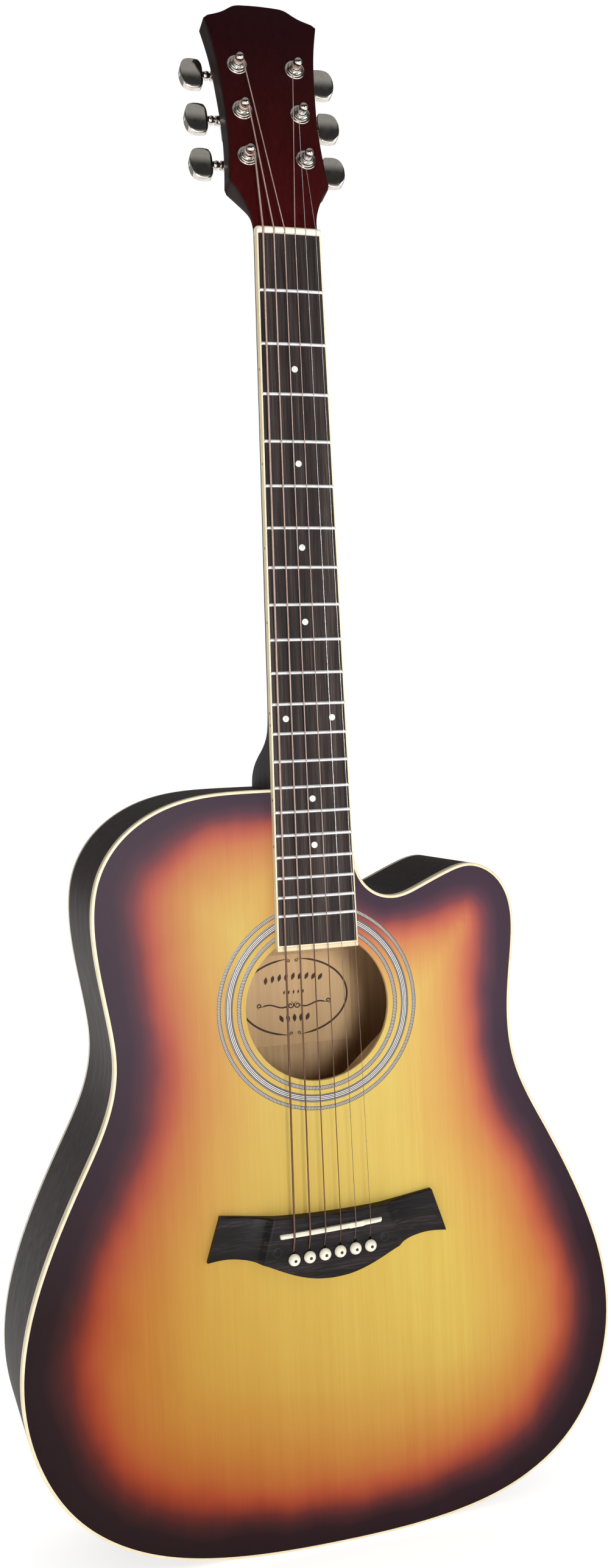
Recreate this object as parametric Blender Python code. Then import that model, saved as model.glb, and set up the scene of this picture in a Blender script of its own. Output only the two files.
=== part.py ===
"""A six-string acoustic guitar with one cutaway, held upright.

+Z runs from the tail to the headstock, the soundboard faces -Y and the treble side is at +X.
Z = 0 is the tail.  Lengths are in metres.  "down" is measured towards the tail from a line just
below the nut, and "out" from the soundboard's outer face towards the player's hand.
"""

import math

import bmesh
import bpy
import numpy as np
from mathutils import Vector

# ---- driving dimensions ---------------------------------------------------------
GAP = 0.0002  # air between pieces that touch
NUT_HEIGHT = 0.874  # the line just below the nut, above the tail
SOUNDBOARD_Y = -0.0431  # outer face of the soundboard
BODY_DEPTH = 0.100
PLATE = 0.0030  # soundboard and back
RIB = 0.0023  # the bent sides
SHOULDER = 0.5142  # height of the body's flat top, where the neck joins
BINDING_WIDTH = 0.0020
BINDING_DEPTH = 0.0060
LINING_WIDTH = 0.0060
LINING_DEPTH = 0.0138
OUTLINE_TURN = math.radians(7)  # the body's outline turns this much between two points
LONGEST_CHORD = 0.028

# Each string's name, its radius, its tuner's side of the headstock and its tuner's place from the nut.
STRINGS = (
    ("low_e", 0.000675, -1, 0), ("a", 0.000535, -1, 1), ("d", 0.000405, -1, 2),
    ("g", 0.000305, 1, 2), ("b", 0.000205, 1, 1), ("high_e", 0.000150, 1, 0),
)
NUT_SPACING = 0.0072
BRIDGE_SPACING = 0.01074
CAMBER_RADIUS = 0.406  # the fingerboard's cross curve
NUT_BACK = 0.0060  # the nut's two edges above that line
NUT_FRONT = 0.0015
NUT_HALF_WIDTH = 0.02185
BOARD_LENGTH = 0.4673  # down to its sound hole end
BOARD_HALF_WIDTH = 0.0281  # at that end
BOARD_TOP = 0.0070
BOARD_EDGE = 0.0010  # width of the binding along the board
BOARD_END_EDGE = 0.0039  # and across its end
NUT_TOP = 0.0092
NUT_SLOT = 0.0083  # floor of the strings' slots

HOLE_CENTRE = 0.3673
HOLE_RADIUS = 0.0498
ROSETTE_RADII = (0.0534, 0.0697)
ROSETTE_DEPTH = 0.0010

BRIDGE_TOP = 0.0093
SADDLE_DOWN = 0.6543  # middle of the saddle
SADDLE_HALF_LENGTH = 0.0358
SADDLE_HALF_WIDTH = 0.0015
SADDLE_TOP = 0.0129
SADDLE_LEAN = 0.0420  # the bass end lies further down, in metres per metre
PIN_DOWN = 0.6707  # middle of the row of pins
PIN_LEAN = 0.0447
PIN_HOLE = 0.0027

HEAD_TILT = math.radians(14)
HEAD_THICKNESS = 0.0150
POST_HALF_SPACING = 0.0201
POST_UP = (0.0535, 0.0875, 0.1215)  # along the headstock, from the nut's back edge
WORM_OFFSET = 0.0063  # the worm's axis beyond the post's, along the headstock
WORM_OUT = -0.0215  # the worm's axis behind the headstock's face
WRAP_OUT = 0.0056  # height of a string's turns above the headstock's face
WRAP_RADIUS = 0.0026  # waist of the post, where the string goes round it
BUSHING_SLEEVE = 0.0048
BUSHING_BORE = 0.0033
BUSHING_BORE_DEPTH = 0.0200  # of its hole in the headstock, from the face


# ---- frame ------------------------------------------------------------------------
def at(x, down, out):
    """A point from its place across, down from the nut and out from the soundboard."""
    return Vector((x, SOUNDBOARD_Y - out, NUT_HEIGHT - down))


def on_body(x, height, out):
    return Vector((x, SOUNDBOARD_Y - out, height))


def as_is(x, y, z):
    return Vector((x, y, z))


# ---- shapes -------------------------------------------------------------------------
def spline(points, steps=12):
    """Points along the smooth cubic curve that passes through the given points."""
    knots = np.array(points, float)
    spans = np.linalg.norm(np.diff(knots, axis=0), axis=1)
    count = len(knots)
    system = np.eye(count)
    target = np.zeros_like(knots)
    for i in range(1, count - 1):
        before, after = spans[i - 1], spans[i]
        system[i, i - 1 : i + 2] = before, 2 * (before + after), after
        slopes = (knots[i + 1] - knots[i]) / after - (knots[i] - knots[i - 1]) / before
        target[i] = 6 * slopes
    bends = np.linalg.solve(system, target)
    curve = []
    for i, span in enumerate(spans):
        for far in np.arange(steps) / steps:
            near = 1 - far
            cubic = (near**3 - near) * bends[i] + (far**3 - far) * bends[i + 1]
            curve.append(near * knots[i] + far * knots[i + 1] + cubic * span**2 / 6)
    curve.append(knots[-1])
    return [tuple(point) for point in curve]


def thinned(points, turn, keep=()):
    """The same curve with points only where it has turned or run far enough, and at those to keep."""
    kept = [points[0]]
    bend = 0
    for before, point, after in zip(points, points[1:], points[2:]):
        heading = math.atan2(point[1] - before[1], point[0] - before[0])
        next_heading = math.atan2(after[1] - point[1], after[0] - point[0])
        bend += abs((next_heading - heading + math.pi) % (2 * math.pi) - math.pi)
        if bend >= turn or math.dist(kept[-1], after) > LONGEST_CHORD or point in keep:
            kept.append(point)
            bend = 0
    return kept + [points[-1]]


def inset(outline, distance):
    """A closed outline, drawn anticlockwise, moved inwards."""
    moved = []
    for i, (x, y) in enumerate(outline):
        before = Vector((x, y)) - Vector(outline[i - 1])
        after = Vector(outline[(i + 1) % len(outline)]) - Vector((x, y))
        normals = [Vector((-step.y, step.x)).normalized() for step in (before, after)]
        middle = (normals[0] + normals[1]).normalized()
        point = Vector((x, y)) + middle * distance / middle.dot(normals[0])
        moved.append(tuple(point))
    return moved


def mirrored(half):
    """A whole outline from its half at +x, given from one end of the centre line to the other."""
    return list(half) + [(-x, y) for x, y in reversed(half) if abs(x) > 1e-9]


def shell_of(rings, closed):
    """Vertices and faces that join a row of rings; a closed row meets its own start."""
    count = len(rings[0])
    vertices = [point for ring in rings for point in ring]
    faces = []
    pairs = len(rings) if closed else len(rings) - 1
    for i in range(pairs):
        here, there = i * count, (i + 1) % len(rings) * count
        for k in range(count):
            following = (k + 1) % count
            faces.append((here + k, here + following, there + following, there + k))
    if not closed:
        faces.append(tuple(range(count)))
        faces.append(tuple(range(len(vertices) - count, len(vertices))))
    return vertices, faces


def prism(outline, low, high, place=as_is):
    return shell_of([[place(a, b, c) for a, b in outline] for c in (low, high)], False)


def strip(outer, inner, low, high, place, closed):
    """A band between two lines that run side by side."""
    rings = []
    for (a, b), (c, d) in zip(outer, inner):
        corners = ((a, b, low), (a, b, high), (c, d, high), (c, d, low))
        rings.append([place(*corner) for corner in corners])
    return shell_of(rings, closed)


def turned(profile, sides, closed=False):
    """A profile of (radius, height) points spun about the local Z axis; an open one ends on it."""
    angles = [2 * math.pi * k / sides for k in range(sides)]
    vertices = []
    faces = []
    starts = []
    for radius, height in profile:
        starts.append(len(vertices))
        ring = angles if radius else angles[:1]
        vertices += [Vector((radius * math.cos(a), radius * math.sin(a), height)) for a in ring]
    pairs = list(zip(range(len(profile)), range(1, len(profile))))
    if closed:
        pairs.append((len(profile) - 1, 0))
    for low, high in pairs:
        for k in range(sides):
            following = (k + 1) % sides
            quad = []
            quad += [starts[low] + k, starts[low] + following] if profile[low][0] else [starts[low]]
            quad += [starts[high] + following, starts[high] + k] if profile[high][0] else [starts[high]]
            faces.append(tuple(quad))
    return vertices, faces


def tube(route, sides):
    """A round bar along (point, radius) pairs, cut square at both ends."""
    points = [Vector(point) for point, _ in route]
    steps = [(after - before).normalized() for before, after in zip(points, points[1:])]
    rings = []
    across = steps[0].orthogonal().normalized()
    for i, (_, radius) in enumerate(route):
        before, after = steps[max(i - 1, 0)], steps[min(i, len(steps) - 1)]
        along = (before + after).normalized()
        across = (across - along * across.dot(along)).normalized()
        up = along.cross(across)
        ring = []
        for k in range(sides):
            angle = 2 * math.pi * k / sides
            ring.append(points[i] + (across * math.cos(angle) + up * math.sin(angle)) * radius)
        rings.append(ring)
    return shell_of(rings, False)


# ---- objects ------------------------------------------------------------------------
def clear_scene():
    for item in list(bpy.data.objects):
        bpy.data.objects.remove(item)


def finish(name, colour, roughness, metallic=0.0):
    material = bpy.data.materials.new(name)
    material.use_nodes = True
    shader = material.node_tree.nodes["Principled BSDF"]
    shader.inputs["Base Color"].default_value = (*colour, 1)
    shader.inputs["Roughness"].default_value = roughness
    shader.inputs["Metallic"].default_value = metallic
    return material


def solid(name, shape, material=None, parent=None, location=(0, 0, 0), rounded=False):
    mesh = bpy.data.meshes.new(name)
    vertices, faces = shape
    mesh.from_pydata(vertices, [], faces)
    sheet = bmesh.new()
    sheet.from_mesh(mesh)
    bmesh.ops.recalc_face_normals(sheet, faces=sheet.faces)
    sheet.to_mesh(mesh)
    sheet.free()
    if rounded:
        mesh.shade_smooth()
        mesh.set_sharp_from_angle(angle=math.radians(35))
    item = bpy.data.objects.new(name, mesh)
    bpy.context.scene.collection.objects.link(item)
    item.parent = parent
    item.location = location
    if material:
        mesh.materials.append(material)
    else:
        item.hide_render = True
        item.display_type = "WIRE"
    return item


def combine(item, other, operation):
    step = item.modifiers.new(operation.lower(), "BOOLEAN")
    step.object = other
    step.operation = operation
    step.solver = "EXACT"


def cut(item, cutter):
    combine(item, cutter, "DIFFERENCE")


def join(item, other):
    combine(item, other, "UNION")


def box(low, high):
    corners = [(low[0], low[1]), (high[0], low[1]), (high[0], high[1]), (low[0], high[1])]
    return prism(corners, low[2], high[2])


def several(shapes):
    """One mesh of shapes that lie apart, for a cutter."""
    vertices = []
    faces = []
    for shape in shapes:
        start = len(vertices)
        vertices += shape[0]
        faces += [tuple(start + k for k in face) for face in shape[1]]
    return vertices, faces


# ---- body ---------------------------------------------------------------------------
LOWER_BOUT = (
    (-0.1394, 0.3410), (-0.1430, 0.3170), (-0.1630, 0.2720), (-0.1890, 0.2180), (-0.2060, 0.1620),
    (-0.2083, 0.1350), (-0.2010, 0.0910), (-0.1760, 0.0475), (-0.1330, 0.0180), (-0.0847, 0.0050),
    (-0.0400, 0.0008),
)
BASS_BOUT = (
    (-0.0400, 0.5142), (-0.0660, 0.5133), (-0.0985, 0.5064), (-0.1313, 0.4846), (-0.1455, 0.4603),
    (-0.1494, 0.4370), (-0.1482, 0.4100), (-0.1415, 0.3660),
)
CUTAWAY = (
    (0.1402, 0.3680), (0.1435, 0.3960), (0.1446, 0.4180), (0.1410, 0.4355), (0.1310, 0.4495),
    (0.1130, 0.4568), (0.0960, 0.4528), (0.0750, 0.4437), (0.0590, 0.4386), (0.0460, 0.4406),
    (0.0365, 0.4480), (0.0305, 0.4620), (0.0285, 0.4840), (0.0282, 0.5142),
)
TENON_HALF_WIDTH = 0.0100
RIB_END = TENON_HALF_WIDTH + 0.0012  # where the sides stop, beside the tenon
TAIL = (0.0, 0.0)
NECK_BLOCK_FOOT = 0.4330
NECK_BLOCK_SIDES = (-0.0300, 0.0188)  # it stops short of the cutaway on the treble side
TAIL_WALL = 0.0036
TAIL_BLOCK_TOP = 0.0260
TAIL_BLOCK_HALF_WIDTH = 0.0300
TAIL_BLOCK_CLEARANCE = 0.0010  # beyond the linings, where the tail's outline still curves


def body_outline():
    """The body seen from the front, anticlockwise from the bass side of the neck joint."""
    treble_bout = [(-x, height) for x, height in reversed(LOWER_BOUT)]
    curve = spline(BASS_BOUT + LOWER_BOUT + (TAIL,) + tuple(treble_bout) + CUTAWAY)
    curve = thinned(curve, OUTLINE_TURN, keep=(TAIL,))
    return [(-RIB_END, SHOULDER)] + curve + [(RIB_END, SHOULDER)]


def build_plates(outline, materials):
    edge = inset(outline, BINDING_WIDTH + GAP)
    soundboard = prism(edge, -PLATE, 0, on_body)
    back = prism(edge, -BODY_DEPTH, PLATE - BODY_DEPTH, on_body)
    solid("back_plate", back, materials["dark_wood"])
    return solid("soundboard", soundboard, materials["sunburst_top"])


def build_sides(outline, materials):
    inner = inset(outline, RIB)
    tail = min(range(len(outline)), key=lambda k: abs(outline[k][0]) + outline[k][1])
    low, high = BINDING_DEPTH + GAP - BODY_DEPTH, -BINDING_DEPTH - GAP
    for name, run, side in (
        ("side_bass", slice(0, tail + 1), -1),
        ("side_treble", slice(tail, len(outline)), 1),
    ):
        lines = [list(line[run]) for line in (outline, inner)]
        for line in lines:
            end = -1 if side < 0 else 0
            line[end] = (side * GAP / 2, line[end][1])
        solid(name, strip(*lines, low, high, on_body, False), materials["dark_wood"], rounded=True)


def build_bindings(outline, materials):
    inner = inset(outline, BINDING_WIDTH)
    for name, low, high in (
        ("top_binding", -BINDING_DEPTH, 0),
        ("back_binding", -BODY_DEPTH, BINDING_DEPTH - BODY_DEPTH),
    ):
        solid(name, strip(outline, inner, low, high, on_body, True), materials["cream"], rounded=True)


def build_linings(outline, materials):
    outer = inset(outline, RIB + 2 * GAP)
    inner = inset(outline, RIB + LINING_WIDTH)
    top = -PLATE - GAP
    bottom = PLATE + GAP - BODY_DEPTH
    for name, low, high in (
        ("top_lining", top - LINING_DEPTH, top),
        ("back_lining", bottom, bottom + LINING_DEPTH),
    ):
        solid(name, strip(outer, inner, low, high, on_body, True), materials["pale_wood"])


def block_profile(wall, inner_face, far_face):
    """Side view of a block that reaches the wall between the linings and stops short under them."""
    top = -PLATE - GAP
    bottom = PLATE + GAP - BODY_DEPTH
    upper = top - LINING_DEPTH - GAP
    lower = bottom + LINING_DEPTH + GAP
    return [
        (far_face, bottom), (far_face, top), (inner_face, top), (inner_face, upper),
        (wall, upper), (wall, lower), (inner_face, lower), (inner_face, bottom),
    ]


def build_blocks(tenon_cutter, materials):
    def across(height, out, x):
        return on_body(x, height, out)

    wall = SHOULDER - RIB - GAP
    under_lining = SHOULDER - RIB - LINING_WIDTH - 2 * GAP
    neck_profile = block_profile(wall, under_lining, NECK_BLOCK_FOOT)
    neck_shape = prism(neck_profile, *NECK_BLOCK_SIDES, across)
    neck_block = solid("neck_block", neck_shape, materials["pale_wood"])
    cut(neck_block, tenon_cutter)
    past_lining = TAIL_WALL + LINING_WIDTH + TAIL_BLOCK_CLEARANCE
    tail_profile = block_profile(TAIL_WALL, past_lining, TAIL_BLOCK_TOP)
    tail_shape = prism(tail_profile, -TAIL_BLOCK_HALF_WIDTH, TAIL_BLOCK_HALF_WIDTH, across)
    solid("tail_block", tail_shape, materials["pale_wood"])


# ---- braces ---------------------------------------------------------------------------
BRACE_HALF_WIDTH = 0.0040
BRACE_HEIGHT = 0.0132
CROSSING = 0.2930  # height at which the two diagonal braces cross
X_ANGLE = math.radians(48)  # each brace from the centre line
X_UPPER, X_LOWER = 0.163, 0.238  # reach from the crossing
UPPER_BRACE = ((-0.134, 0.423), (0.130, 0.423))  # its ends, across and up
BACK_BRACES = (("back_brace_upper", 0.396, 0.131), ("back_brace_lower", 0.135, 0.196))  # height and reach


def bar(start, end, half_width, low, high):
    """A straight bar between two points of the body's plane."""
    start, end = Vector(start), Vector(end)
    side = (end - start).orthogonal().normalized() * half_width
    corners = [tuple(p) for p in (start + side, end + side, end - side, start - side)]
    return prism(corners, low, high, on_body)


def build_top_braces(materials):
    top = -PLATE - GAP
    middle = top - BRACE_HEIGHT / 2
    notch_reach = 2 * BRACE_HALF_WIDTH
    for name, side, notch in (
        ("x_brace_bass", -1, (middle - GAP, top + GAP)),
        ("x_brace_treble", 1, (top - BRACE_HEIGHT - GAP, middle + GAP)),
    ):
        along = Vector((side * math.sin(X_ANGLE), math.cos(X_ANGLE)))
        centre = Vector((0, CROSSING))
        ends = (centre + along * X_UPPER, centre - along * X_LOWER)
        item = solid(name, bar(*ends, BRACE_HALF_WIDTH, top - BRACE_HEIGHT, top), materials["pale_wood"])
        other = Vector((-along.x, along.y))
        lap = bar(centre - other * notch_reach, centre + other * notch_reach, BRACE_HALF_WIDTH + GAP, *notch)
        cut(item, solid(name + "_lap", lap))
    upper = bar(*UPPER_BRACE, BRACE_HALF_WIDTH, top - BRACE_HEIGHT, top)
    solid("upper_brace", upper, materials["pale_wood"])


def build_back_braces(materials):
    low = PLATE + GAP - BODY_DEPTH
    for name, height, reach in BACK_BRACES:
        shape = bar((-reach, height), (reach, height), BRACE_HALF_WIDTH, low, low + BRACE_HEIGHT)
        solid(name, shape, materials["pale_wood"])


# ---- sound hole and bridge ----------------------------------------------------------------
def circle(centre, radius, sides):
    angles = [2 * math.pi * k / sides for k in range(sides)]
    return [(centre[0] + radius * math.cos(a), centre[1] + radius * math.sin(a)) for a in angles]


def build_rosette(soundboard, materials):
    """The inlaid ring round the sound hole, in a shallow groove."""
    sides = 40
    centre = (0, HOLE_CENTRE)
    hole = circle(centre, HOLE_RADIUS, sides)
    cut(soundboard, solid("sound_hole_cutter", prism(hole, -2 * PLATE, PLATE, on_body)))
    inner, outer = ROSETTE_RADII
    lines = [circle(centre, radius, sides) for radius in (outer + GAP, inner - GAP)]
    groove = strip(*lines, -ROSETTE_DEPTH - GAP, PLATE, on_body, True)
    cut(soundboard, solid("rosette_groove", groove))
    ring = [circle(centre, radius, sides) for radius in (outer, inner)]
    solid("rosette", strip(*ring, -ROSETTE_DEPTH, 0, on_body, True), materials["rosette"], rounded=True)


# Bridge sections from its middle to one tip: the upper edge's x and down, the lower edge's, and the height.
BRIDGE_SECTIONS = (
    (0.0000, 0.6450, 0.0000, 0.6880, BRIDGE_TOP),
    (0.0110, 0.6449, 0.0120, 0.6870, BRIDGE_TOP),
    (0.0210, 0.6446, 0.0240, 0.6838, BRIDGE_TOP),
    (0.0300, 0.6442, 0.0360, 0.6788, BRIDGE_TOP),
    (0.0395, 0.6435, 0.0480, 0.6732, BRIDGE_TOP),
    (0.0432, 0.6430, 0.0518, 0.6716, 0.0062),
    (0.0500, 0.6421, 0.0588, 0.6695, 0.0044),
    (0.0620, 0.6404, 0.0712, 0.6677, 0.0038),
    (0.0745, 0.6387, 0.0842, 0.6684, 0.0044),
)
BRIDGE_EDGE = 0.0010  # the bevel along the bridge's upper edges


def bridge_ring(upper_x, upper_down, lower_x, lower_down, height):
    upper = Vector((upper_x, upper_down))
    lower = Vector((lower_x, lower_down))
    inwards = (lower - upper).normalized() * BRIDGE_EDGE
    ring = [(upper, GAP), (upper, height - BRIDGE_EDGE), (upper + inwards, height)]
    ring += [(lower - inwards, height), (lower, height - BRIDGE_EDGE), (lower, GAP)]
    return [at(point.x, point.y, out) for point, out in ring]


def string_x(index, spacing):
    return (index - (len(STRINGS) - 1) / 2) * spacing


def pin_place(index):
    x = string_x(index, BRIDGE_SPACING)
    return x, PIN_DOWN - x * PIN_LEAN


STRING_SLOT_REACH = 0.0059  # the string's slot, from its pin's axis towards the saddle
STRING_SLOT_HALF_WIDTH = 0.0009


def pin_hole(index):
    """A keyhole through the bridge and what is under it: a round hole with the string's slot."""
    x, down = pin_place(index)
    sides = 10
    opening = math.asin(STRING_SLOT_HALF_WIDTH / PIN_HOLE)
    outline = []
    for k in range(sides + 1):
        angle = opening + (2 * math.pi - 2 * opening) * k / sides
        outline.append((x + PIN_HOLE * math.sin(angle), down - PIN_HOLE * math.cos(angle)))
    outline.append((x - STRING_SLOT_HALF_WIDTH, down - STRING_SLOT_REACH))
    outline.append((x + STRING_SLOT_HALF_WIDTH, down - STRING_SLOT_REACH))
    return prism(outline, -0.010, BRIDGE_TOP + 0.004, at)


def saddle_outline(half_length, half_width):
    corners = ((-half_length, -half_width), (half_length, -half_width), (half_length, half_width))
    corners += ((-half_length, half_width),)
    return [(x, SADDLE_DOWN + y - x * SADDLE_LEAN) for x, y in corners]


def camber_drop(x):
    return x * x / (2 * CAMBER_RADIUS)


def build_saddle(bridge, materials):
    floor = 0.0040
    plan = saddle_outline(SADDLE_HALF_LENGTH + GAP, SADDLE_HALF_WIDTH + GAP)
    cut(bridge, solid("saddle_slot", prism(plan, floor, BRIDGE_TOP + PLATE, at)))
    rings = []
    for share in np.linspace(-1, 1, 9):
        x = share * SADDLE_HALF_LENGTH
        middle = SADDLE_DOWN - x * SADDLE_LEAN
        top = SADDLE_TOP - camber_drop(x) - (0.0008 if abs(share) == 1 else 0)
        shoulder = top - 0.0006
        inner = SADDLE_HALF_WIDTH * 0.6
        ring = [(-SADDLE_HALF_WIDTH, floor + GAP), (-SADDLE_HALF_WIDTH, shoulder), (-inner, top)]
        ring += [(inner, top), (SADDLE_HALF_WIDTH, shoulder), (SADDLE_HALF_WIDTH, floor + GAP)]
        rings.append([at(x, middle + y, out) for y, out in ring])
    solid("saddle", shell_of(rings, False), materials["bone"])


def build_bridge(soundboard, materials):
    rings = [bridge_ring(-a, b, -c, d, out) for a, b, c, d, out in reversed(BRIDGE_SECTIONS[1:])]
    rings += [bridge_ring(*section) for section in BRIDGE_SECTIONS]
    bridge = solid("bridge", shell_of(rings, False), materials["black_wood"])
    top = -PLATE - GAP
    corners = [(-0.048, 0.6415), (0.048, 0.6415), (0.080, 0.6830), (-0.080, 0.6830)]
    plate = solid("bridge_plate", prism(corners, top - 0.0022, top, at), materials["pale_wood"])
    holes = solid("pin_holes", several([pin_hole(k) for k in range(len(STRINGS))]))
    for item in (bridge, plate, soundboard):
        cut(item, holes)
    build_saddle(bridge, materials)


def build_bridge_pins(materials):
    """Tapered pins with domed heads; each one's local Z points out of the bridge."""
    profile = [(0, -0.0215), (0.0016, -0.0215), (0.0024, 0), (0.0038, 0), (0.0040, 0.0008)]
    profile += [(0.0034, 0.0024), (0.0020, 0.0034), (0, 0.0037)]
    for k, (note, *_) in enumerate(STRINGS):
        x, down = pin_place(k)
        pin = solid("bridge_pin_" + note, turned(profile, 12), materials["bone"], rounded=True)
        pin.location = at(x, down, BRIDGE_TOP + GAP)
        pin.rotation_euler = (math.pi / 2, 0, 0)


# ---- neck -----------------------------------------------------------------------------
JOINT_DOWN = NUT_HEIGHT - SHOULDER - GAP  # where the heel meets the body
# Down from the nut, the neck's depth there and half the width of its underside.
NECK_STATIONS = (
    (-0.004, 0.0145, 0.0), (0.060, 0.0152, 0.0), (0.180, 0.0164, 0.0), (0.290, 0.0172, 0.0),
    (0.308, 0.0184, 0.0), (0.319, 0.0250, 0.003), (0.326, 0.0390, 0.006), (0.331, 0.0560, 0.008),
    (0.336, 0.0730, 0.010), (0.341, 0.0840, 0.0112), (0.347, 0.0920, 0.012), (0.353, 0.0955, 0.0125),
    (JOINT_DOWN, 0.0970, 0.0125),
)
TENON_LENGTH = 0.0180
TENON_REACH = (-0.080, -0.020)
ROD_RUN = (0.008, 0.350)  # truss rod, down from the nut
ROD_RADIUS = 0.0026
ROD_END_RADIUS = 0.0044
ROD_STEP = 0.0005  # length over which its end blocks taper to the bar
ROD_OUT = -0.0052
# Half of the headstock's outline: across, and along its face from the nut's back edge.
HEAD_NECK = (
    (0.02185, 0.0030), (0.0225, 0.0090), (0.0243, 0.0160), (0.0270, 0.0228), (0.0303, 0.0290),
    (0.0335, 0.0330),
)
HEAD_SIDE = (
    (0.0344, 0.0365), (0.0327, 0.0540), (0.0317, 0.0780), (0.0329, 0.1070), (0.0356, 0.1360),
    (0.0394, 0.1562),
)
HEAD_CROWN = (
    (0.0365, 0.1586), (0.0320, 0.1601), (0.0270, 0.1621), (0.0222, 0.1650), (0.0180, 0.1675),
    (0.0120, 0.1686), (0.0, 0.1690),
)


def half_width(down):
    """Half the width of the neck and the fingerboard."""
    return NUT_HALF_WIDTH + (BOARD_HALF_WIDTH - NUT_HALF_WIDTH) * down / BOARD_LENGTH


def neck_ring(down, depth, underside):
    """Half an ellipse under a flat top, drawn in to a wedge where it deepens into the heel."""
    steps = 14
    wide = half_width(down)
    narrowing = 1 + 0.9 * min(1, max(0, (depth - 0.018) / 0.05))
    ring = []
    for k in range(steps + 1):
        angle = math.pi * k / steps
        reach = underside + (wide - underside) * abs(math.cos(angle)) ** narrowing
        across = 0 if 2 * k == steps else math.copysign(reach, math.cos(angle))
        ring.append(at(across, down, -depth * math.sin(angle)))
    return ring


def head_outline():
    """The headstock's face, anticlockwise from the treble side of the nut."""
    half = [(NUT_HALF_WIDTH, -0.0040)]
    for run in (HEAD_NECK, HEAD_SIDE, HEAD_CROWN):
        half += thinned(spline(run), math.radians(8))
    return mirrored(half)


def head_frame():
    """An empty on the headstock's face at the nut's back edge: local Y along the face, Z out of it."""
    empty = bpy.data.objects.new("head_frame", None)
    bpy.context.scene.collection.objects.link(empty)
    empty.location = at(0, -NUT_BACK, 0)
    empty.rotation_euler = (math.pi / 2 - HEAD_TILT, 0, 0)
    return empty


def on_head(x, along, out):
    """A point given in the headstock's frame."""
    down = -NUT_BACK - along * math.cos(HEAD_TILT) - out * math.sin(HEAD_TILT)
    return at(x, down, out * math.cos(HEAD_TILT) - along * math.sin(HEAD_TILT))


def tenon(extra):
    low, high = TENON_REACH
    wide = TENON_HALF_WIDTH + extra
    plan = [(-wide, JOINT_DOWN - 0.002), (wide, JOINT_DOWN - 0.002)]
    plan += [(wide, JOINT_DOWN + TENON_LENGTH + extra), (-wide, JOINT_DOWN + TENON_LENGTH + extra)]
    return prism(plan, low - extra, high + extra, at)


def rod_channel():
    wide = ROD_END_RADIUS + GAP
    start, end = ROD_RUN[0] - GAP, ROD_RUN[1] + GAP
    plan = [(-wide, start), (wide, start), (wide, end), (-wide, end)]
    return prism(plan, ROD_OUT - wide, BOARD_TOP, at)


def nut_seat():
    """Room for the nut and the fingerboard above the neck's flat top."""
    plan = [(-0.030, -NUT_BACK), (0.030, -NUT_BACK), (0.030, 0.002), (-0.030, 0.002)]
    return prism(plan, 0, BOARD_TOP, at)


def build_neck(head, materials):
    rings = [neck_ring(*station) for station in NECK_STATIONS]
    neck = solid("neck", shell_of(rings, False), materials["neck_wood"], rounded=True)
    join(neck, solid("head_plate", prism(head_outline(), -HEAD_THICKNESS, 0), parent=head))
    join(neck, solid("tenon", tenon(0)))
    cut(neck, solid("nut_seat", nut_seat()))
    cut(neck, solid("rod_channel", rod_channel()))
    centres = [(side * POST_HALF_SPACING, POST_UP[row]) for _, _, side, row in STRINGS]
    holes = [circle(centre, BUSHING_SLEEVE + GAP, 12) for centre in centres]
    bores = [prism(hole, -BUSHING_BORE_DEPTH, BUSHING_SLEEVE) for hole in holes]
    cut(neck, solid("bushing_bores", several(bores), parent=head))


def build_truss_rod(materials):
    start, end = ROD_RUN
    block = 0.010
    thick = block + ROD_STEP
    stations = ((start, ROD_END_RADIUS), (start + block, ROD_END_RADIUS), (start + thick, ROD_RADIUS))
    stations += tuple((start + end - down, radius) for down, radius in reversed(stations))
    route = [(at(0, down, ROD_OUT), radius) for down, radius in stations]
    solid("truss_rod", tube(route, 12), materials["steel"], rounded=True)


def build_nut(materials):
    rings = []
    for share in np.linspace(-1, 1, 9):
        x = share * NUT_HALF_WIDTH
        top = NUT_TOP - camber_drop(x) - (0.0006 if abs(share) == 1 else 0)
        front = -NUT_FRONT - GAP
        ring = [(-NUT_BACK, GAP), (-NUT_BACK, top - 0.0014), (-0.0050, top), (front - 0.0008, top)]
        ring += [(front, top - 0.0005), (front, GAP)]
        rings.append([at(x, down, out) for down, out in ring])
    nut = solid("nut", shell_of(rings, False), materials["bone"])
    slots = []
    for k, (_, radius, *_) in enumerate(STRINGS):
        x = string_x(k, NUT_SPACING)
        wide = radius + GAP
        plan = [(x - wide, -0.010), (x + wide, -0.010), (x + wide, 0.002), (x - wide, 0.002)]
        slots.append(prism(plan, NUT_SLOT - camber_drop(x), NUT_TOP + 0.002, at))
    cut(nut, solid("nut_slots", several(slots)))


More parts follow.
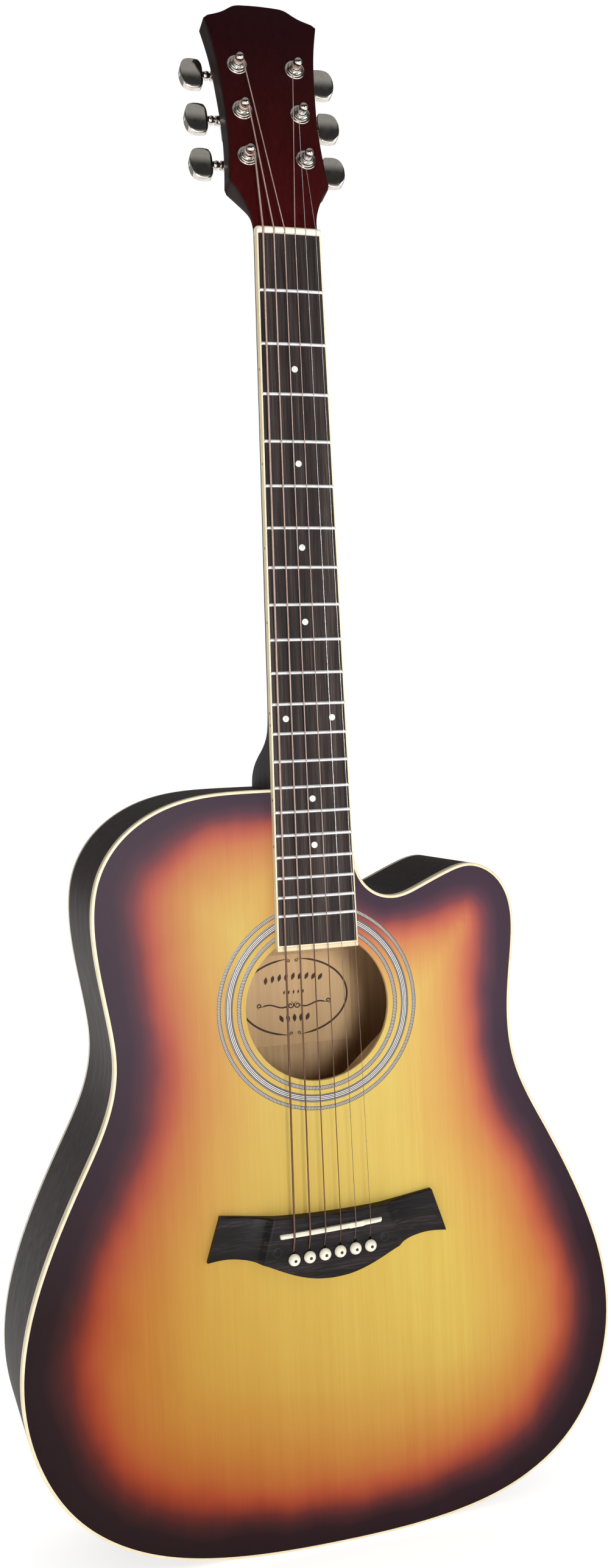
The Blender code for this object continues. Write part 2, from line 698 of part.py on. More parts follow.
def build_fingerboard(materials):
    """The board with its cross curve, and the binding along both sides and its lower end."""
    inner_end = BOARD_LENGTH - BOARD_END_EDGE
    rings = []
    for down in (-NUT_FRONT, inner_end - GAP):
        wide = half_width(down) - BOARD_EDGE - GAP
        ring = [at(-wide, down, GAP), at(wide, down, GAP)]
        ring += [at(x, down, BOARD_TOP - camber_drop(x)) for x in np.linspace(wide, -wide, 9)]
        rings.append(ring)
    solid("fingerboard", shell_of(rings, False), materials["rosewood"], rounded=True)
    sections = []
    for side, shares in ((-1, (1, 0.5)), (1, (0, 0.5, 1))):
        for share in shares:
            outer_x = side * share * BOARD_HALF_WIDTH
            inner_x = side * share * (half_width(inner_end) - BOARD_EDGE)
            sections.append((outer_x, BOARD_LENGTH, inner_x, inner_end))
    for side, place in ((-1, 0), (1, len(sections) + 1)):
        wide = half_width(-NUT_FRONT)
        start = (side * wide, -NUT_FRONT, side * (wide - BOARD_EDGE), -NUT_FRONT)
        sections.insert(place, start)
    bands = []
    for outer_x, outer_down, inner_x, inner_down in sections:
        outer_top, inner_top = (BOARD_TOP - camber_drop(x) for x in (outer_x, inner_x))
        band = [at(outer_x, outer_down, GAP), at(outer_x, outer_down, outer_top)]
        bands.append(band + [at(inner_x, inner_down, inner_top), at(inner_x, inner_down, GAP)])
    solid("fingerboard_binding", shell_of(bands, False), materials["cream"])


# ---- strings --------------------------------------------------------------------------
BALL_RADIUS = 0.0019


def string_route(index, radius, side, row):
    """From the ball under the bridge plate, up beside its pin, over the saddle and the nut, to its post."""
    x, down = pin_place(index)
    ball = down - 0.0044
    shaft = down - 0.0033
    saddle_x = string_x(index, BRIDGE_SPACING)
    saddle = SADDLE_DOWN - saddle_x * SADDLE_LEAN
    saddle_out = SADDLE_TOP - camber_drop(saddle_x) + GAP + radius
    nut_x = string_x(index, NUT_SPACING)
    nut_out = NUT_SLOT - camber_drop(nut_x) + GAP + radius
    post_x = side * (POST_HALF_SPACING - WRAP_RADIUS - GAP - radius)
    return [
        (at(x, ball, -0.0092), BALL_RADIUS),
        (at(x, ball, -0.0062), BALL_RADIUS),
        (at(x, ball + 0.0002, -0.0060), radius),
        (at(x, shaft, -0.0030), radius),
        (at(x, shaft, 0.0055), radius),
        (at(x, down - 0.0050, BRIDGE_TOP + GAP + radius), radius),
        (at(saddle_x, saddle + 0.0012, saddle_out - 0.0002), radius),
        (at(saddle_x, saddle - 0.0012, saddle_out), radius),
        (at(nut_x, -NUT_FRONT - 0.0008, nut_out), radius),
        (at(nut_x, -NUT_BACK - GAP, nut_out), radius),
        (on_head(post_x, POST_UP[row], WRAP_OUT), radius),
    ]


def build_strings(materials):
    for k, (note, radius, side, row) in enumerate(STRINGS):
        wound = k < 4
        shape = tube(string_route(k, radius, side, row), 6)
        solid("string_" + note, shape, materials["bronze" if wound else "steel"], rounded=True)


# ---- tuners ---------------------------------------------------------------------------
GEAR_RADIUS = 0.0040
GEAR_REACH = (WORM_OUT - 0.0021, WORM_OUT + 0.0021)
WORM_RADIUS = 0.0020
HOUSING_LOW = (-0.0080, -0.0080, -0.0272)
HOUSING_HIGH = (0.0086, 0.0115, -HEAD_THICKNESS - GAP)
BOSS_END = 0.0130
BUTTON_INNER = 0.0186  # from the post's axis
# Half of the button seen from the front: across from the post's axis, and from its own middle.
BUTTON_EDGE = (
    (BUTTON_INNER, 0.0030), (0.0202, 0.0100), (0.0212, 0.0110), (0.0290, 0.0110), (0.0316, 0.0093),
    (0.0334, 0.0060),
)
BUTTON_TIP = 0.0343
BUTTON_HALF_THICKNESS = 0.0034


def rod_along_x(start, end, radius, sides, y=0.0, z=0.0):
    return tube([(Vector((start, y, z)), radius), (Vector((end, y, z)), radius)], sides)


def build_post(name, head, place, materials):
    """The string post with its gear wheel, about local Z."""
    low, high = GEAR_REACH
    profile = [(0, low), (GEAR_RADIUS, low), (GEAR_RADIUS, high), (0.0030, high), (0.0030, 0.0042)]
    profile += [(WRAP_RADIUS, 0.0047), (WRAP_RADIUS, 0.0068), (0.0028, 0.0074), (0.0029, 0.0090)]
    profile += [(0.0020, 0.0104), (0, 0.0109)]
    solid(name, turned(profile, 12), materials["chrome"], head, place, rounded=True)


def build_bushing(name, head, place, materials):
    """The sleeve that the post turns in, with its collar and its flange on the headstock's face."""
    profile = [(BUSHING_BORE, -0.0130), (BUSHING_SLEEVE, -0.0130), (BUSHING_SLEEVE, GAP), (0.0070, GAP)]
    profile += [(0.0070, 0.0009), (0.0053, 0.0014), (0.0050, 0.0026), (0.0041, 0.0032)]
    profile += [(0.0039, 0.0040), (BUSHING_BORE, 0.0040)]
    solid(name, turned(profile, 12, closed=True), materials["chrome"], head, place, rounded=True)


def build_housing(name, head, place, side, materials):
    """The cast case behind the headstock: bored for the gear and, across it, for the worm's shaft."""
    def flipped(shape):
        return [Vector((side * v.x, v.y, v.z)) for v in shape[0]], shape[1]

    housing = solid(name, flipped(box(HOUSING_LOW, HOUSING_HIGH)), materials["chrome"], head, place)
    worm = {"y": WORM_OFFSET, "z": WORM_OUT}
    boss = flipped(rod_along_x(HOUSING_HIGH[0] - 0.001, BOSS_END, WORM_RADIUS + 0.0012, 12, **worm))
    join(housing, solid(name + "_boss", boss, parent=head, location=place))
    bore = flipped(rod_along_x(HOUSING_LOW[0] + 0.0010, BOSS_END + 0.002, WORM_RADIUS + 0.0003, 12, **worm))
    cut(housing, solid(name + "_worm_bore", bore, parent=head, location=place))
    profile = [(0, WORM_OUT - 0.0030), (GEAR_RADIUS + 0.0004, WORM_OUT - 0.0030)]
    profile += [(GEAR_RADIUS + 0.0004, 0), (0, 0)]
    cut(housing, solid(name + "_gear_bore", turned(profile, 12), parent=head, location=place))


def build_button(name, head, place, side, materials):
    """The button on its worm shaft, about local X."""
    half = list(BUTTON_EDGE)
    outline = half + [(BUTTON_TIP, 0)] + [(x, -y) for x, y in reversed(half)]
    outline = [(side * x, y) for x, y in outline]
    thick = BUTTON_HALF_THICKNESS
    button = solid(name, prism(outline, -thick, thick), materials["chrome"], head, place)
    bevel = button.modifiers.new("bevel", "BEVEL")
    bevel.width = 0.0008
    bevel.segments = 1
    shaft = rod_along_x(side * (HOUSING_LOW[0] + 0.0014), side * (BUTTON_INNER + 0.003), WORM_RADIUS, 12)
    join(button, solid(name + "_shaft", shaft, parent=head, location=place))


def build_tuners(head, materials):
    for note, _, side, row in STRINGS:
        post = Vector((side * POST_HALF_SPACING, POST_UP[row], 0))
        build_post("tuner_post_" + note, head, post, materials)
        build_bushing("tuner_bushing_" + note, head, post, materials)
        build_housing("tuner_housing_" + note, head, post, side, materials)
        worm = post + Vector((0, WORM_OFFSET, WORM_OUT))
        build_button("tuner_button_" + note, head, worm, side, materials)


# ---- the whole ------------------------------------------------------------------------
def build_materials():
    return {
        "sunburst_top": finish("sunburst_top", (0.80, 0.50, 0.12), 0.35),
        "dark_wood": finish("dark_wood", (0.045, 0.020, 0.016), 0.45),
        "neck_wood": finish("neck_wood", (0.060, 0.010, 0.010), 0.40),
        "pale_wood": finish("pale_wood", (0.62, 0.42, 0.22), 0.70),
        "rosewood": finish("rosewood", (0.060, 0.035, 0.026), 0.55),
        "black_wood": finish("black_wood", (0.018, 0.015, 0.015), 0.50),
        "cream": finish("cream", (0.80, 0.72, 0.50), 0.35),
        "bone": finish("bone", (0.82, 0.76, 0.60), 0.35),
        "rosette": finish("rosette", (0.25, 0.22, 0.18), 0.40),
        "chrome": finish("chrome", (0.72, 0.72, 0.72), 0.12, 1.0),
        "steel": finish("steel", (0.60, 0.60, 0.60), 0.25, 1.0),
        "bronze": finish("bronze", (0.62, 0.34, 0.16), 0.35, 1.0),
    }


def main():
    clear_scene()
    materials = build_materials()
    outline = body_outline()
    soundboard = build_plates(outline, materials)
    build_sides(outline, materials)
    build_bindings(outline, materials)
    build_linings(outline, materials)
    build_blocks(solid("mortise", tenon(GAP)), materials)
    build_top_braces(materials)
    build_back_braces(materials)
    build_rosette(soundboard, materials)
    build_bridge(soundboard, materials)
    build_bridge_pins(materials)
    head = head_frame()
    build_neck(head, materials)
    build_truss_rod(materials)
    build_nut(materials)
    build_fingerboard(materials)
    build_strings(materials)
    build_tuners(head, materials)


main()
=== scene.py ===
"""The looks of the acoustic guitar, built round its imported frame.

+Z runs from the tail to the headstock, the soundboard faces -Y and the treble side is at +X.
Lengths are in metres.  "down" is measured towards the tail from a line just below the nut, and
"out" from the soundboard's outer face towards the player's hand.  Every mesh is made in
place, so an object's own coordinates are the frame's.
"""

import math

import bmesh
import bpy
import numpy as np
from mathutils import Matrix, Vector
from mathutils.geometry import delaunay_2d_cdt


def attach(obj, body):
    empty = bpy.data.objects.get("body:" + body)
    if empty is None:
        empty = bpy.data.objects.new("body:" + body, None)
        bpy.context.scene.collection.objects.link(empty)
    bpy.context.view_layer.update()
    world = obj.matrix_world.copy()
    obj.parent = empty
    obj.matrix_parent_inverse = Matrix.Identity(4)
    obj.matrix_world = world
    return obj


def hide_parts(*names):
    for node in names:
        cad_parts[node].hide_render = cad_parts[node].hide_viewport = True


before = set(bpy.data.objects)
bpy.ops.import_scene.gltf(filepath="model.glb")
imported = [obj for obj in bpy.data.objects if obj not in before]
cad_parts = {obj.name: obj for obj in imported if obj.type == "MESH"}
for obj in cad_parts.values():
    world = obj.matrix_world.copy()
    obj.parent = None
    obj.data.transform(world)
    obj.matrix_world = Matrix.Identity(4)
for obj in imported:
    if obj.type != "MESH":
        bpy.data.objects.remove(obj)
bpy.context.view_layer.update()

# ---- dimensions shared with the CAD model ----------------
GAP = 0.0002
NUT_HEIGHT = 0.874
SOUNDBOARD_Y = -0.0431
BODY_DEPTH = 0.100
PLATE = 0.0030
RIB = 0.0023
SHOULDER = 0.5142
BINDING_WIDTH = 0.0020
BINDING_DEPTH = 0.0060
RIB_END = 0.0112
SCALE_LENGTH = 0.650
# Each string's name, radius, tuner side, tuner row and turns round its post.
STRINGS = (
    ("low_e", 0.000675, -1, 0, 1.6), ("a", 0.000535, -1, 1, 2.0), ("d", 0.000405, -1, 2, 2.6),
    ("g", 0.000305, 1, 2, 3.4), ("b", 0.000205, 1, 1, 4.4), ("high_e", 0.000150, 1, 0, 5.4),
)
NUT_SPACING = 0.0072
BRIDGE_SPACING = 0.01074
CAMBER_RADIUS = 0.406
NUT_BACK = 0.0060
NUT_FRONT = 0.0015
NUT_HALF_WIDTH = 0.02185
BOARD_LENGTH = 0.4673
BOARD_HALF_WIDTH = 0.0281
BOARD_TOP = 0.0070
BOARD_EDGE = 0.0010
BOARD_END_EDGE = 0.0039
NUT_TOP = 0.0092
NUT_SLOT = 0.0083
HOLE_CENTRE = 0.3673
HOLE_RADIUS = 0.0498
BRIDGE_TOP = 0.0093
SADDLE_DOWN = 0.6543
SADDLE_HALF_LENGTH = 0.0358
SADDLE_HALF_WIDTH = 0.0015
SADDLE_TOP = 0.0129
SADDLE_LEAN = 0.0420
PIN_DOWN = 0.6707
PIN_LEAN = 0.0447
HEAD_TILT = math.radians(14)
HEAD_THICKNESS = 0.0150
POST_HALF_SPACING = 0.0201
POST_UP = (0.0535, 0.0875, 0.1215)
WORM_OFFSET = 0.0063
WORM_OUT = -0.0215
WRAP_OUT = 0.0056
WRAP_RADIUS = 0.0026
JOINT_DOWN = NUT_HEIGHT - SHOULDER - GAP


# ---- frame -----------------------------------------------
def at(x, down, out):
    """A point from its place across, down from the nut and out from the soundboard."""
    return Vector((x, SOUNDBOARD_Y - out, NUT_HEIGHT - down))


def upright(x, down, out):
    """The turn and move that stand a turned shape on the soundboard."""
    return Matrix.Translation(at(x, down, out)) @ Matrix.Rotation(math.pi / 2, 4, "X")


def on_body(x, height, out):
    return Vector((x, SOUNDBOARD_Y - out, height))


def as_is(x, y, z):
    return Vector((x, y, z))


HEAD_FRAME = Matrix.Translation(at(0, -NUT_BACK, 0)) @ Matrix.Rotation(math.pi / 2 - HEAD_TILT, 4, "X")


def on_head(x, along, out):
    """A point given along the headstock's face and out of it."""
    return HEAD_FRAME @ Vector((x, along, out))


# ---- curves ----------------------------------------------
def spline(points, steps=24):
    """Points along the smooth cubic curve that passes through the given points."""
    knots = np.array(points, float)
    spans = np.linalg.norm(np.diff(knots, axis=0), axis=1)
    count = len(knots)
    system = np.eye(count)
    target = np.zeros_like(knots)
    for i in range(1, count - 1):
        before, after = spans[i - 1], spans[i]
        system[i, i - 1 : i + 2] = before, 2 * (before + after), after
        slopes = (knots[i + 1] - knots[i]) / after - (knots[i] - knots[i - 1]) / before
        target[i] = 6 * slopes
    bends = np.linalg.solve(system, target)
    curve = []
    for i, span in enumerate(spans):
        for far in np.arange(steps) / steps:
            near = 1 - far
            cubic = (near**3 - near) * bends[i] + (far**3 - far) * bends[i + 1]
            curve.append(near * knots[i] + far * knots[i + 1] + cubic * span**2 / 6)
    curve.append(knots[-1])
    return [tuple(float(value) for value in point) for point in curve]


def thinned(points, turn, longest, keep=()):
    """The same curve with points only where it has turned or run far enough, and at those to keep."""
    kept = [points[0]]
    bend = 0
    for before, point, after in zip(points, points[1:], points[2:]):
        heading = math.atan2(point[1] - before[1], point[0] - before[0])
        next_heading = math.atan2(after[1] - point[1], after[0] - point[0])
        bend += abs((next_heading - heading + math.pi) % (2 * math.pi) - math.pi)
        if bend >= turn or math.dist(kept[-1], after) > longest or point in keep:
            kept.append(point)
            bend = 0
    return kept + [points[-1]]


def eased(points, reach, steps=5):
    """A line with each inner corner replaced by a short curve that starts and ends within reach of it."""
    points = [Vector(point) for point in points]
    line = [points[0]]
    for before, corner, after in zip(points, points[1:], points[2:]):
        back, on = before - corner, after - corner
        start = corner + back.normalized() * min(reach, back.length * 0.45)
        end = corner + on.normalized() * min(reach, on.length * 0.45)
        for k in range(steps + 1):
            share = k / steps
            line.append(start * (1 - share) ** 2 + corner * 2 * share * (1 - share) + end * share**2)
    return line + [points[-1]]


def inset(outline, distance):
    """A closed outline, drawn anticlockwise, moved inwards."""
    moved = []
    for i, (x, y) in enumerate(outline):
        before = Vector((x, y)) - Vector(outline[i - 1])
        after = Vector(outline[(i + 1) % len(outline)]) - Vector((x, y))
        normals = [Vector((-step.y, step.x)).normalized() for step in (before, after)]
        middle = (normals[0] + normals[1]).normalized()
        point = Vector((x, y)) + middle * distance / middle.dot(normals[0])
        moved.append(tuple(point))
    return moved


def mirrored(half):
    """A whole outline from its half at +x, given from one end of the centre line to the other."""
    return list(half) + [(-x, y) for x, y in reversed(half) if abs(x) > 1e-9]


def rectangle(low_x, low_y, high_x, high_y):
    """Its corners, anticlockwise from the high one."""
    return [(high_x, high_y), (low_x, high_y), (low_x, low_y), (high_x, low_y)]


def circle(centre, radius, sides):
    angles = [2 * math.pi * k / sides for k in range(sides)]
    return [(centre[0] + radius * math.cos(a), centre[1] + radius * math.sin(a)) for a in angles]


def quarter(radius, start, steps=4):
    """Inset and drop of points round the rounded edge where a flat face at height start turns down."""
    points = []
    for k in range(steps + 1):
        angle = math.pi / 2 * k / steps
        points.append((radius * (1 - math.sin(angle)), start - radius * (1 - math.cos(angle))))
    return points


# ---- shapes: lists of vertices and faces -----------------
def shell_of(rings, closed):
    """Vertices and faces that join a row of rings; a closed row meets its own start."""
    count = len(rings[0])
    vertices = [point for ring in rings for point in ring]
    faces = []
    pairs = len(rings) if closed else len(rings) - 1
    for i in range(pairs):
        here, there = i * count, (i + 1) % len(rings) * count
        for k in range(count):
            following = (k + 1) % count
            faces.append((here + k, here + following, there + following, there + k))
    if not closed:
        faces.append(tuple(range(count)))
        faces.append(tuple(range(len(vertices) - count, len(vertices))))
    return vertices, faces


def prism(outline, low, high, place=as_is):
    return shell_of([[place(a, b, c) for a, b in outline] for c in (low, high)], False)


def layered(outline, layers, place=as_is):
    """A plate whose edge follows (inset, height) layers from one face to the other."""
    rings = []
    for distance, height in layers:
        rings.append([place(a, b, height) for a, b in inset(outline, distance)])
    return shell_of(rings, False)


def band(outline, profile, place, closed=True):
    """A strip along an outline whose cross-section is given as (inset, height) points."""
    lines = [inset(outline, distance) for distance, _ in profile]
    rings = []
    for k in range(len(outline)):
        rings.append([place(*line[k], height) for line, (_, height) in zip(lines, profile)])
    return shell_of(rings, closed)


def turned(profile, sides, closed=False):
    """A profile of (radius, height) points spun about the local Z axis; an open one ends on it."""
    angles = [2 * math.pi * k / sides for k in range(sides)]
    vertices = []
    faces = []
    starts = []
    for radius, height in profile:
        starts.append(len(vertices))
        ring = angles if radius else angles[:1]
        vertices += [Vector((radius * math.cos(a), radius * math.sin(a), height)) for a in ring]
    pairs = list(zip(range(len(profile)), range(1, len(profile))))
    if closed:
        pairs.append((len(profile) - 1, 0))
    for low, high in pairs:
        for k in range(sides):
            following = (k + 1) % sides
            quad = []
            quad += [starts[low] + k, starts[low] + following] if profile[low][0] else [starts[low]]
            quad += [starts[high] + following, starts[high] + k] if profile[high][0] else [starts[high]]
            faces.append(tuple(quad))
    return vertices, faces


def tube(points, radii, sides):
    """A round bar along a line of points."""
    points = [Vector(point) for point in points]
    steps = [(after - before).normalized() for before, after in zip(points, points[1:])]
    rings = []
    across = steps[0].orthogonal().normalized()
    for i, radius in enumerate(radii):
        before, after = steps[max(i - 1, 0)], steps[min(i, len(steps) - 1)]
        along = (before + after).normalized()
        across = (across - along * across.dot(along)).normalized()
        up = along.cross(across)
        ring = []
        for k in range(sides):
            angle = 2 * math.pi * k / sides
            ring.append(points[i] + (across * math.cos(angle) + up * math.sin(angle)) * radius)
        rings.append(ring)
    return shell_of(rings, False)


def moved(shape, matrix):
    return [matrix @ Vector(vertex) for vertex in shape[0]], shape[1]


def flipped(shape, side):
    """The shape, mirrored across x where side is -1."""
    return [Vector((side * v[0], v[1], v[2])) for v in shape[0]], shape[1]


def several(shapes):
    """One shape of several that lie apart."""
    vertices = []
    faces = []
    for shape in shapes:
        start = len(vertices)
        vertices += shape[0]
        faces += [tuple(start + k for k in face) for face in shape[1]]
    return vertices, faces


def as_mesh(name, shape):
    mesh = bpy.data.meshes.new(name)
    mesh.from_pydata([tuple(vertex) for vertex in shape[0]], [], shape[1])
    sheet = bmesh.new()
    sheet.from_mesh(mesh)
    bmesh.ops.recalc_face_normals(sheet, faces=sheet.faces)
    sheet.to_mesh(mesh)
    sheet.free()
    return mesh


def as_shape(mesh):
    vertices = [vertex.co.copy() for vertex in mesh.vertices]
    return vertices, [tuple(face.vertices) for face in mesh.polygons]


def rounded(shape, width, segments=3, angle=30):
    """The shape with its sharp edges rounded."""
    mesh = as_mesh("rounding", shape)
    sheet = bmesh.new()
    sheet.from_mesh(mesh)
    limit = math.radians(angle)
    sharp = [edge for edge in sheet.edges if edge.calc_face_angle(0) > limit]
    bmesh.ops.bevel(sheet, geom=sharp, offset=width, segments=segments, profile=0.5, affect="EDGES",
                    clamp_overlap=True)
    sheet.to_mesh(mesh)
    sheet.free()
    shape = as_shape(mesh)
    bpy.data.meshes.remove(mesh)
    return shape


def placed(name, data):
    """An object in the scene."""
    item = bpy.data.objects.new(name, data)
    bpy.context.scene.collection.objects.link(item)
    return item


def combined(shape, other, operation):
    """Two shapes joined into one solid, or one cut out of the other."""
    items = []
    for part in (shape, other):
        items.append(placed("part", as_mesh("part", part)))
    step = items[0].modifiers.new("join", "BOOLEAN")
    step.object = items[1]
    step.operation = operation
    step.solver = "EXACT"
    graph = bpy.context.evaluated_depsgraph_get()
    result = as_shape(items[0].evaluated_get(graph).to_mesh())
    for item in items:
        bpy.data.meshes.remove(item.data)
    return result


# ---- materials -------------------------------------------
def srgb(red, green, blue):
    """A display colour, 0 to 255, as the linear colour that a shader takes."""
    linear = []
    for value in (red, green, blue):
        share = value / 255
        linear.append(share / 12.92 if share <= 0.04045 else ((share + 0.055) / 1.055) ** 2.4)
    return (*linear, 1)


class Look:
    """A material while its nodes are being wired."""

    def __init__(self, name, **sockets):
        self.material = bpy.data.materials.new(name)
        self.material.use_nodes = True
        self.tree = self.material.node_tree
        self.shader = self.tree.nodes["Principled BSDF"]
        for socket, value in sockets.items():
            self.shader.inputs[socket.replace("_", " ")].default_value = value

    def node(self, kind, *inputs, **settings):
        """A node whose inputs, in order, are values or other nodes' outputs; None leaves one alone."""
        node = self.tree.nodes.new("ShaderNode" + kind)
        for key, value in settings.items():
            setattr(node, key, value)
        for socket, value in zip(node.inputs, inputs):
            if isinstance(value, bpy.types.NodeSocket):
                self.tree.links.new(value, socket)
            elif value is not None:
                socket.default_value = value
        return node

    def set(self, socket, value):
        self.tree.links.new(value, self.shader.inputs[socket])

    def place(self, scale=(1, 1, 1)):
        """Object coordinates, stretched."""
        coordinates = self.node("TexCoord").outputs["Object"]
        return self.node("Mapping", coordinates, None, None, scale).outputs[0]

    def axes(self):
        return self.node("SeparateXYZ", self.place()).outputs

    def noise(self, scale, detail=3.0, roughness=0.6):
        node = self.node("TexNoise", self.place(scale))
        node.inputs["Scale"].default_value = 1.0
        node.inputs["Detail"].default_value = detail
        node.inputs["Roughness"].default_value = roughness
        return node.outputs[0]

    def sum(self, operation, first, second=None, third=None):
        return self.node("Math", first, second, third, operation=operation).outputs[0]

    def span(self, value, low, high, to_low, to_high):
        return self.node("MapRange", value, low, high, to_low, to_high).outputs[0]

    def ramp(self, value, stops, interpolation="LINEAR"):
        node = self.node("ValToRGB", value)
        ramp = node.color_ramp
        ramp.interpolation = interpolation
        while len(ramp.elements) > 1:
            ramp.elements.remove(ramp.elements[0])
        ramp.elements[0].position = stops[0][0]
        ramp.elements[0].color = srgb(*stops[0][1])
        for position, colour in stops[1:]:
            ramp.elements.new(position).color = srgb(*colour)
        return node.outputs[0]

    def mix(self, share, first, second, blend="MIX"):
        node = self.node("Mix", data_type="RGBA", blend_type=blend)
        for socket, value in ((node.inputs[0], share), (node.inputs[6], first), (node.inputs[7], second)):
            if isinstance(value, bpy.types.NodeSocket):
                self.tree.links.new(value, socket)
            else:
                socket.default_value = value
        return node.outputs[2]

    def bump(self, height, distance):
        node = self.node("Bump")
        node.inputs["Strength"].default_value = 1.0
        node.inputs["Distance"].default_value = distance
        self.tree.links.new(height, node.inputs["Height"])
        self.set("Normal", node.outputs[0])

    def roughen(self, pattern, roughness, relief=0):
        """Roughness that follows a noise, with the same noise as relief."""
        self.set("Roughness", self.span(pattern, 0.3, 0.7, *roughness))
        if relief:
            self.bump(pattern, relief)

    def figure(self, fine, broad):
        """Long fine streaks, and the same mixed with broader ones."""
        streaks = self.noise(fine, 4.0, 0.65)
        bands = self.noise(broad, 2.0, 0.5)
        return streaks, self.sum("ADD", self.sum("MULTIPLY", streaks, 0.6), self.sum("MULTIPLY", bands, 0.4))


def grained(name, stops, scale, roughness, relief, **sockets):
    """Wood: a colour ramp over long fine streaks, pores for roughness and a little relief."""
    look = Look(name, **sockets)
    streaks, both = look.figure(scale, tuple(value * 0.16 for value in scale))
    look.set("Base Color", look.ramp(both, stops))
    look.roughen(streaks, roughness, relief)
    return look.material


def board_wood(stops):
    """Open-grained rosewood, paler towards the sound hole, where light is painted onto it."""
    look = Look("rosewood", Specular_IOR_Level=0.15)
    streaks, both = look.figure((1100, 300, 24), (176, 48, 4))
    # Painted light: the board is paler towards the sound hole.
    painted_light = look.span(look.axes()[2], 0.75, 0.45, 0.0, 0.055)
    look.set("Base Color", look.ramp(look.sum("ADD", both, painted_light), stops))
    look.roughen(streaks, (0.46, 0.62), 0.00008)
    return look.material


BURST_STOPS = (
    (0.00, (30, 8, 20)), (0.10, (38, 17, 30)), (0.155, (68, 33, 42)),
    (0.20, (106, 46, 48)), (0.25, (156, 72, 52)), (0.30, (182, 95, 62)),
    (0.36, (192, 122, 66)), (0.46, (199, 145, 72)), (0.60, (205, 168, 83)),
    (0.80, (209, 186, 92)), (1.00, (211, 191, 95)),
)
BURST_RANGE = 5.0  # the burst's field at the top of the ramp


def sunburst():
    """Lacquered spruce, stained from the edge inwards; the mesh's field says how far in a point lies.

    The colour darkens towards the bass side, where the stain is deeper and shade is also painted, and towards
    the tail with painted shade; a painted violet sheen lies over the upper part.
    """
    look = Look("sunburst_top", Coat_Weight=0.06, Coat_Roughness=0.22, Specular_IOR_Level=0.10)
    field = look.node("Attribute", attribute_name="burst").outputs["Fac"]
    wander = look.span(look.noise((22, 22, 14), 2.0), 0.3, 0.7, -0.10, 0.10)
    stain = look.sum("DIVIDE", look.sum("ADD", field, wander), BURST_RANGE)
    stained = look.ramp(stain, BURST_STOPS)
    x, _, z = look.axes()
    # Painted shade: darker towards the bass side, where the stain is also deeper, and towards the tail.
    across = look.span(x, 0.09, -0.15, 0.0, 0.67)
    down = look.span(z, 0.33, 0.10, 0.0, 0.5)
    depth = look.ramp(look.sum("ADD", across, down), ((0.0, (255, 255, 255)), (1.0, (215, 182, 152))))
    fine = look.noise((1300, 60, 16), 3.0, 0.7)
    broad = look.noise((140, 20, 3), 2.0, 0.5)
    lines = look.ramp(fine, ((0.30, (250, 246, 241)), (0.62, (255, 255, 255))))
    tone = look.ramp(broad, ((0.30, (250, 246, 240)), (0.70, (255, 255, 255))))
    wood = look.mix(1.0, look.mix(1.0, stained, lines, "MULTIPLY"), tone, "MULTIPLY")
    wood = look.mix(1.0, wood, depth, "MULTIPLY")
    # A painted violet sheen over the upper part of the top.
    wood = look.mix(look.span(z, 0.18, 0.36, 0.0, 0.06), wood, srgb(182, 158, 186))
    look.set("Base Color", wood)
    look.roughen(fine, (0.34, 0.42), 0.00003)
    return look.material


def head_face():
    """The headstock's face: wine red towards the nut, almost black at the crown."""
    look = Look("head_face", Specular_IOR_Level=0.08)
    height = look.axes()[2]
    rise = look.span(height, 0.885, 1.025, 0.0, 1.0)
    colour = look.ramp(rise, ((0.0, (62, 6, 7)), (0.35, (52, 6, 7)), (0.75, (40, 5, 7)), (1.0, (31, 4, 7))))
    streaks = look.noise((600, 600, 14), 4.0, 0.65)
    shade = look.ramp(streaks, ((0.3, (214, 206, 206)), (0.65, (255, 255, 255))))
    look.set("Base Color", look.mix(1.0, colour, shade, "MULTIPLY"))
    look.roughen(streaks, (0.40, 0.50), 0.00002)
    return look.material


def ring_field(look):
    """Angle round the sound hole's axis and distance from it."""
    x, _, z = look.axes()
    rise = look.sum("SUBTRACT", z, HOLE_CENTRE)
    angle = look.sum("ARCTAN2", x, rise)
    distance = look.sum("SQRT", look.sum("ADD", look.sum("MULTIPLY", x, x), look.sum("MULTIPLY", rise, rise)))
    return angle, distance


def rope(name, inner, outer, strands):
    """A ring of slanting silver and grey strands between two fine dark lines."""
    look = Look(name, Coat_Weight=0.3, Coat_Roughness=0.2)
    angle, distance = ring_field(look)
    share = look.span(distance, inner, outer, 0.0, 1.0)
    phase = look.sum("ADD", look.sum("MULTIPLY", angle, float(strands)), look.sum("MULTIPLY", share, 5.0))
    weave = look.span(look.sum("SINE", phase), -1.0, 1.0, 0.0, 1.0)
    strand = look.ramp(weave, ((0.30, (58, 52, 56)), (0.55, (150, 144, 140)), (1.0, (196, 190, 182))))
    edge = look.ramp(share, ((0.0, (58, 50, 52)), (0.13, (255, 255, 255)), (0.87, (58, 50, 52))), "CONSTANT")
    look.set("Base Color", look.mix(1.0, strand, edge, "MULTIPLY"))
    look.set("Roughness", look.span(weave, 0.0, 1.0, 0.45, 0.32))
    look.bump(weave, 0.00002)
    return look.material


def purfling(name, inner, outer):
    """Black and white lines side by side."""
    look = Look(name, Coat_Weight=0.3, Coat_Roughness=0.2)
    _, distance = ring_field(look)
    share = look.span(distance, inner, outer, 0.0, 1.0)
    black, white, grey = (24, 20, 30), (222, 216, 210), (118, 112, 112)
    stops = [(0.0, black), (0.05, grey)]
    for k in range(4):
        start = 0.13 + 0.20 * k
        stops.append((start, black))
        stops.append((start + 0.11, white))
    stops[-1] = (stops[-1][0], grey)
    stops.append((0.95, black))
    look.set("Base Color", look.ramp(share, stops, "CONSTANT"))
    speckle = look.noise((900, 900, 900), 2.0)
    look.roughen(speckle, (0.32, 0.42))
    return look.material


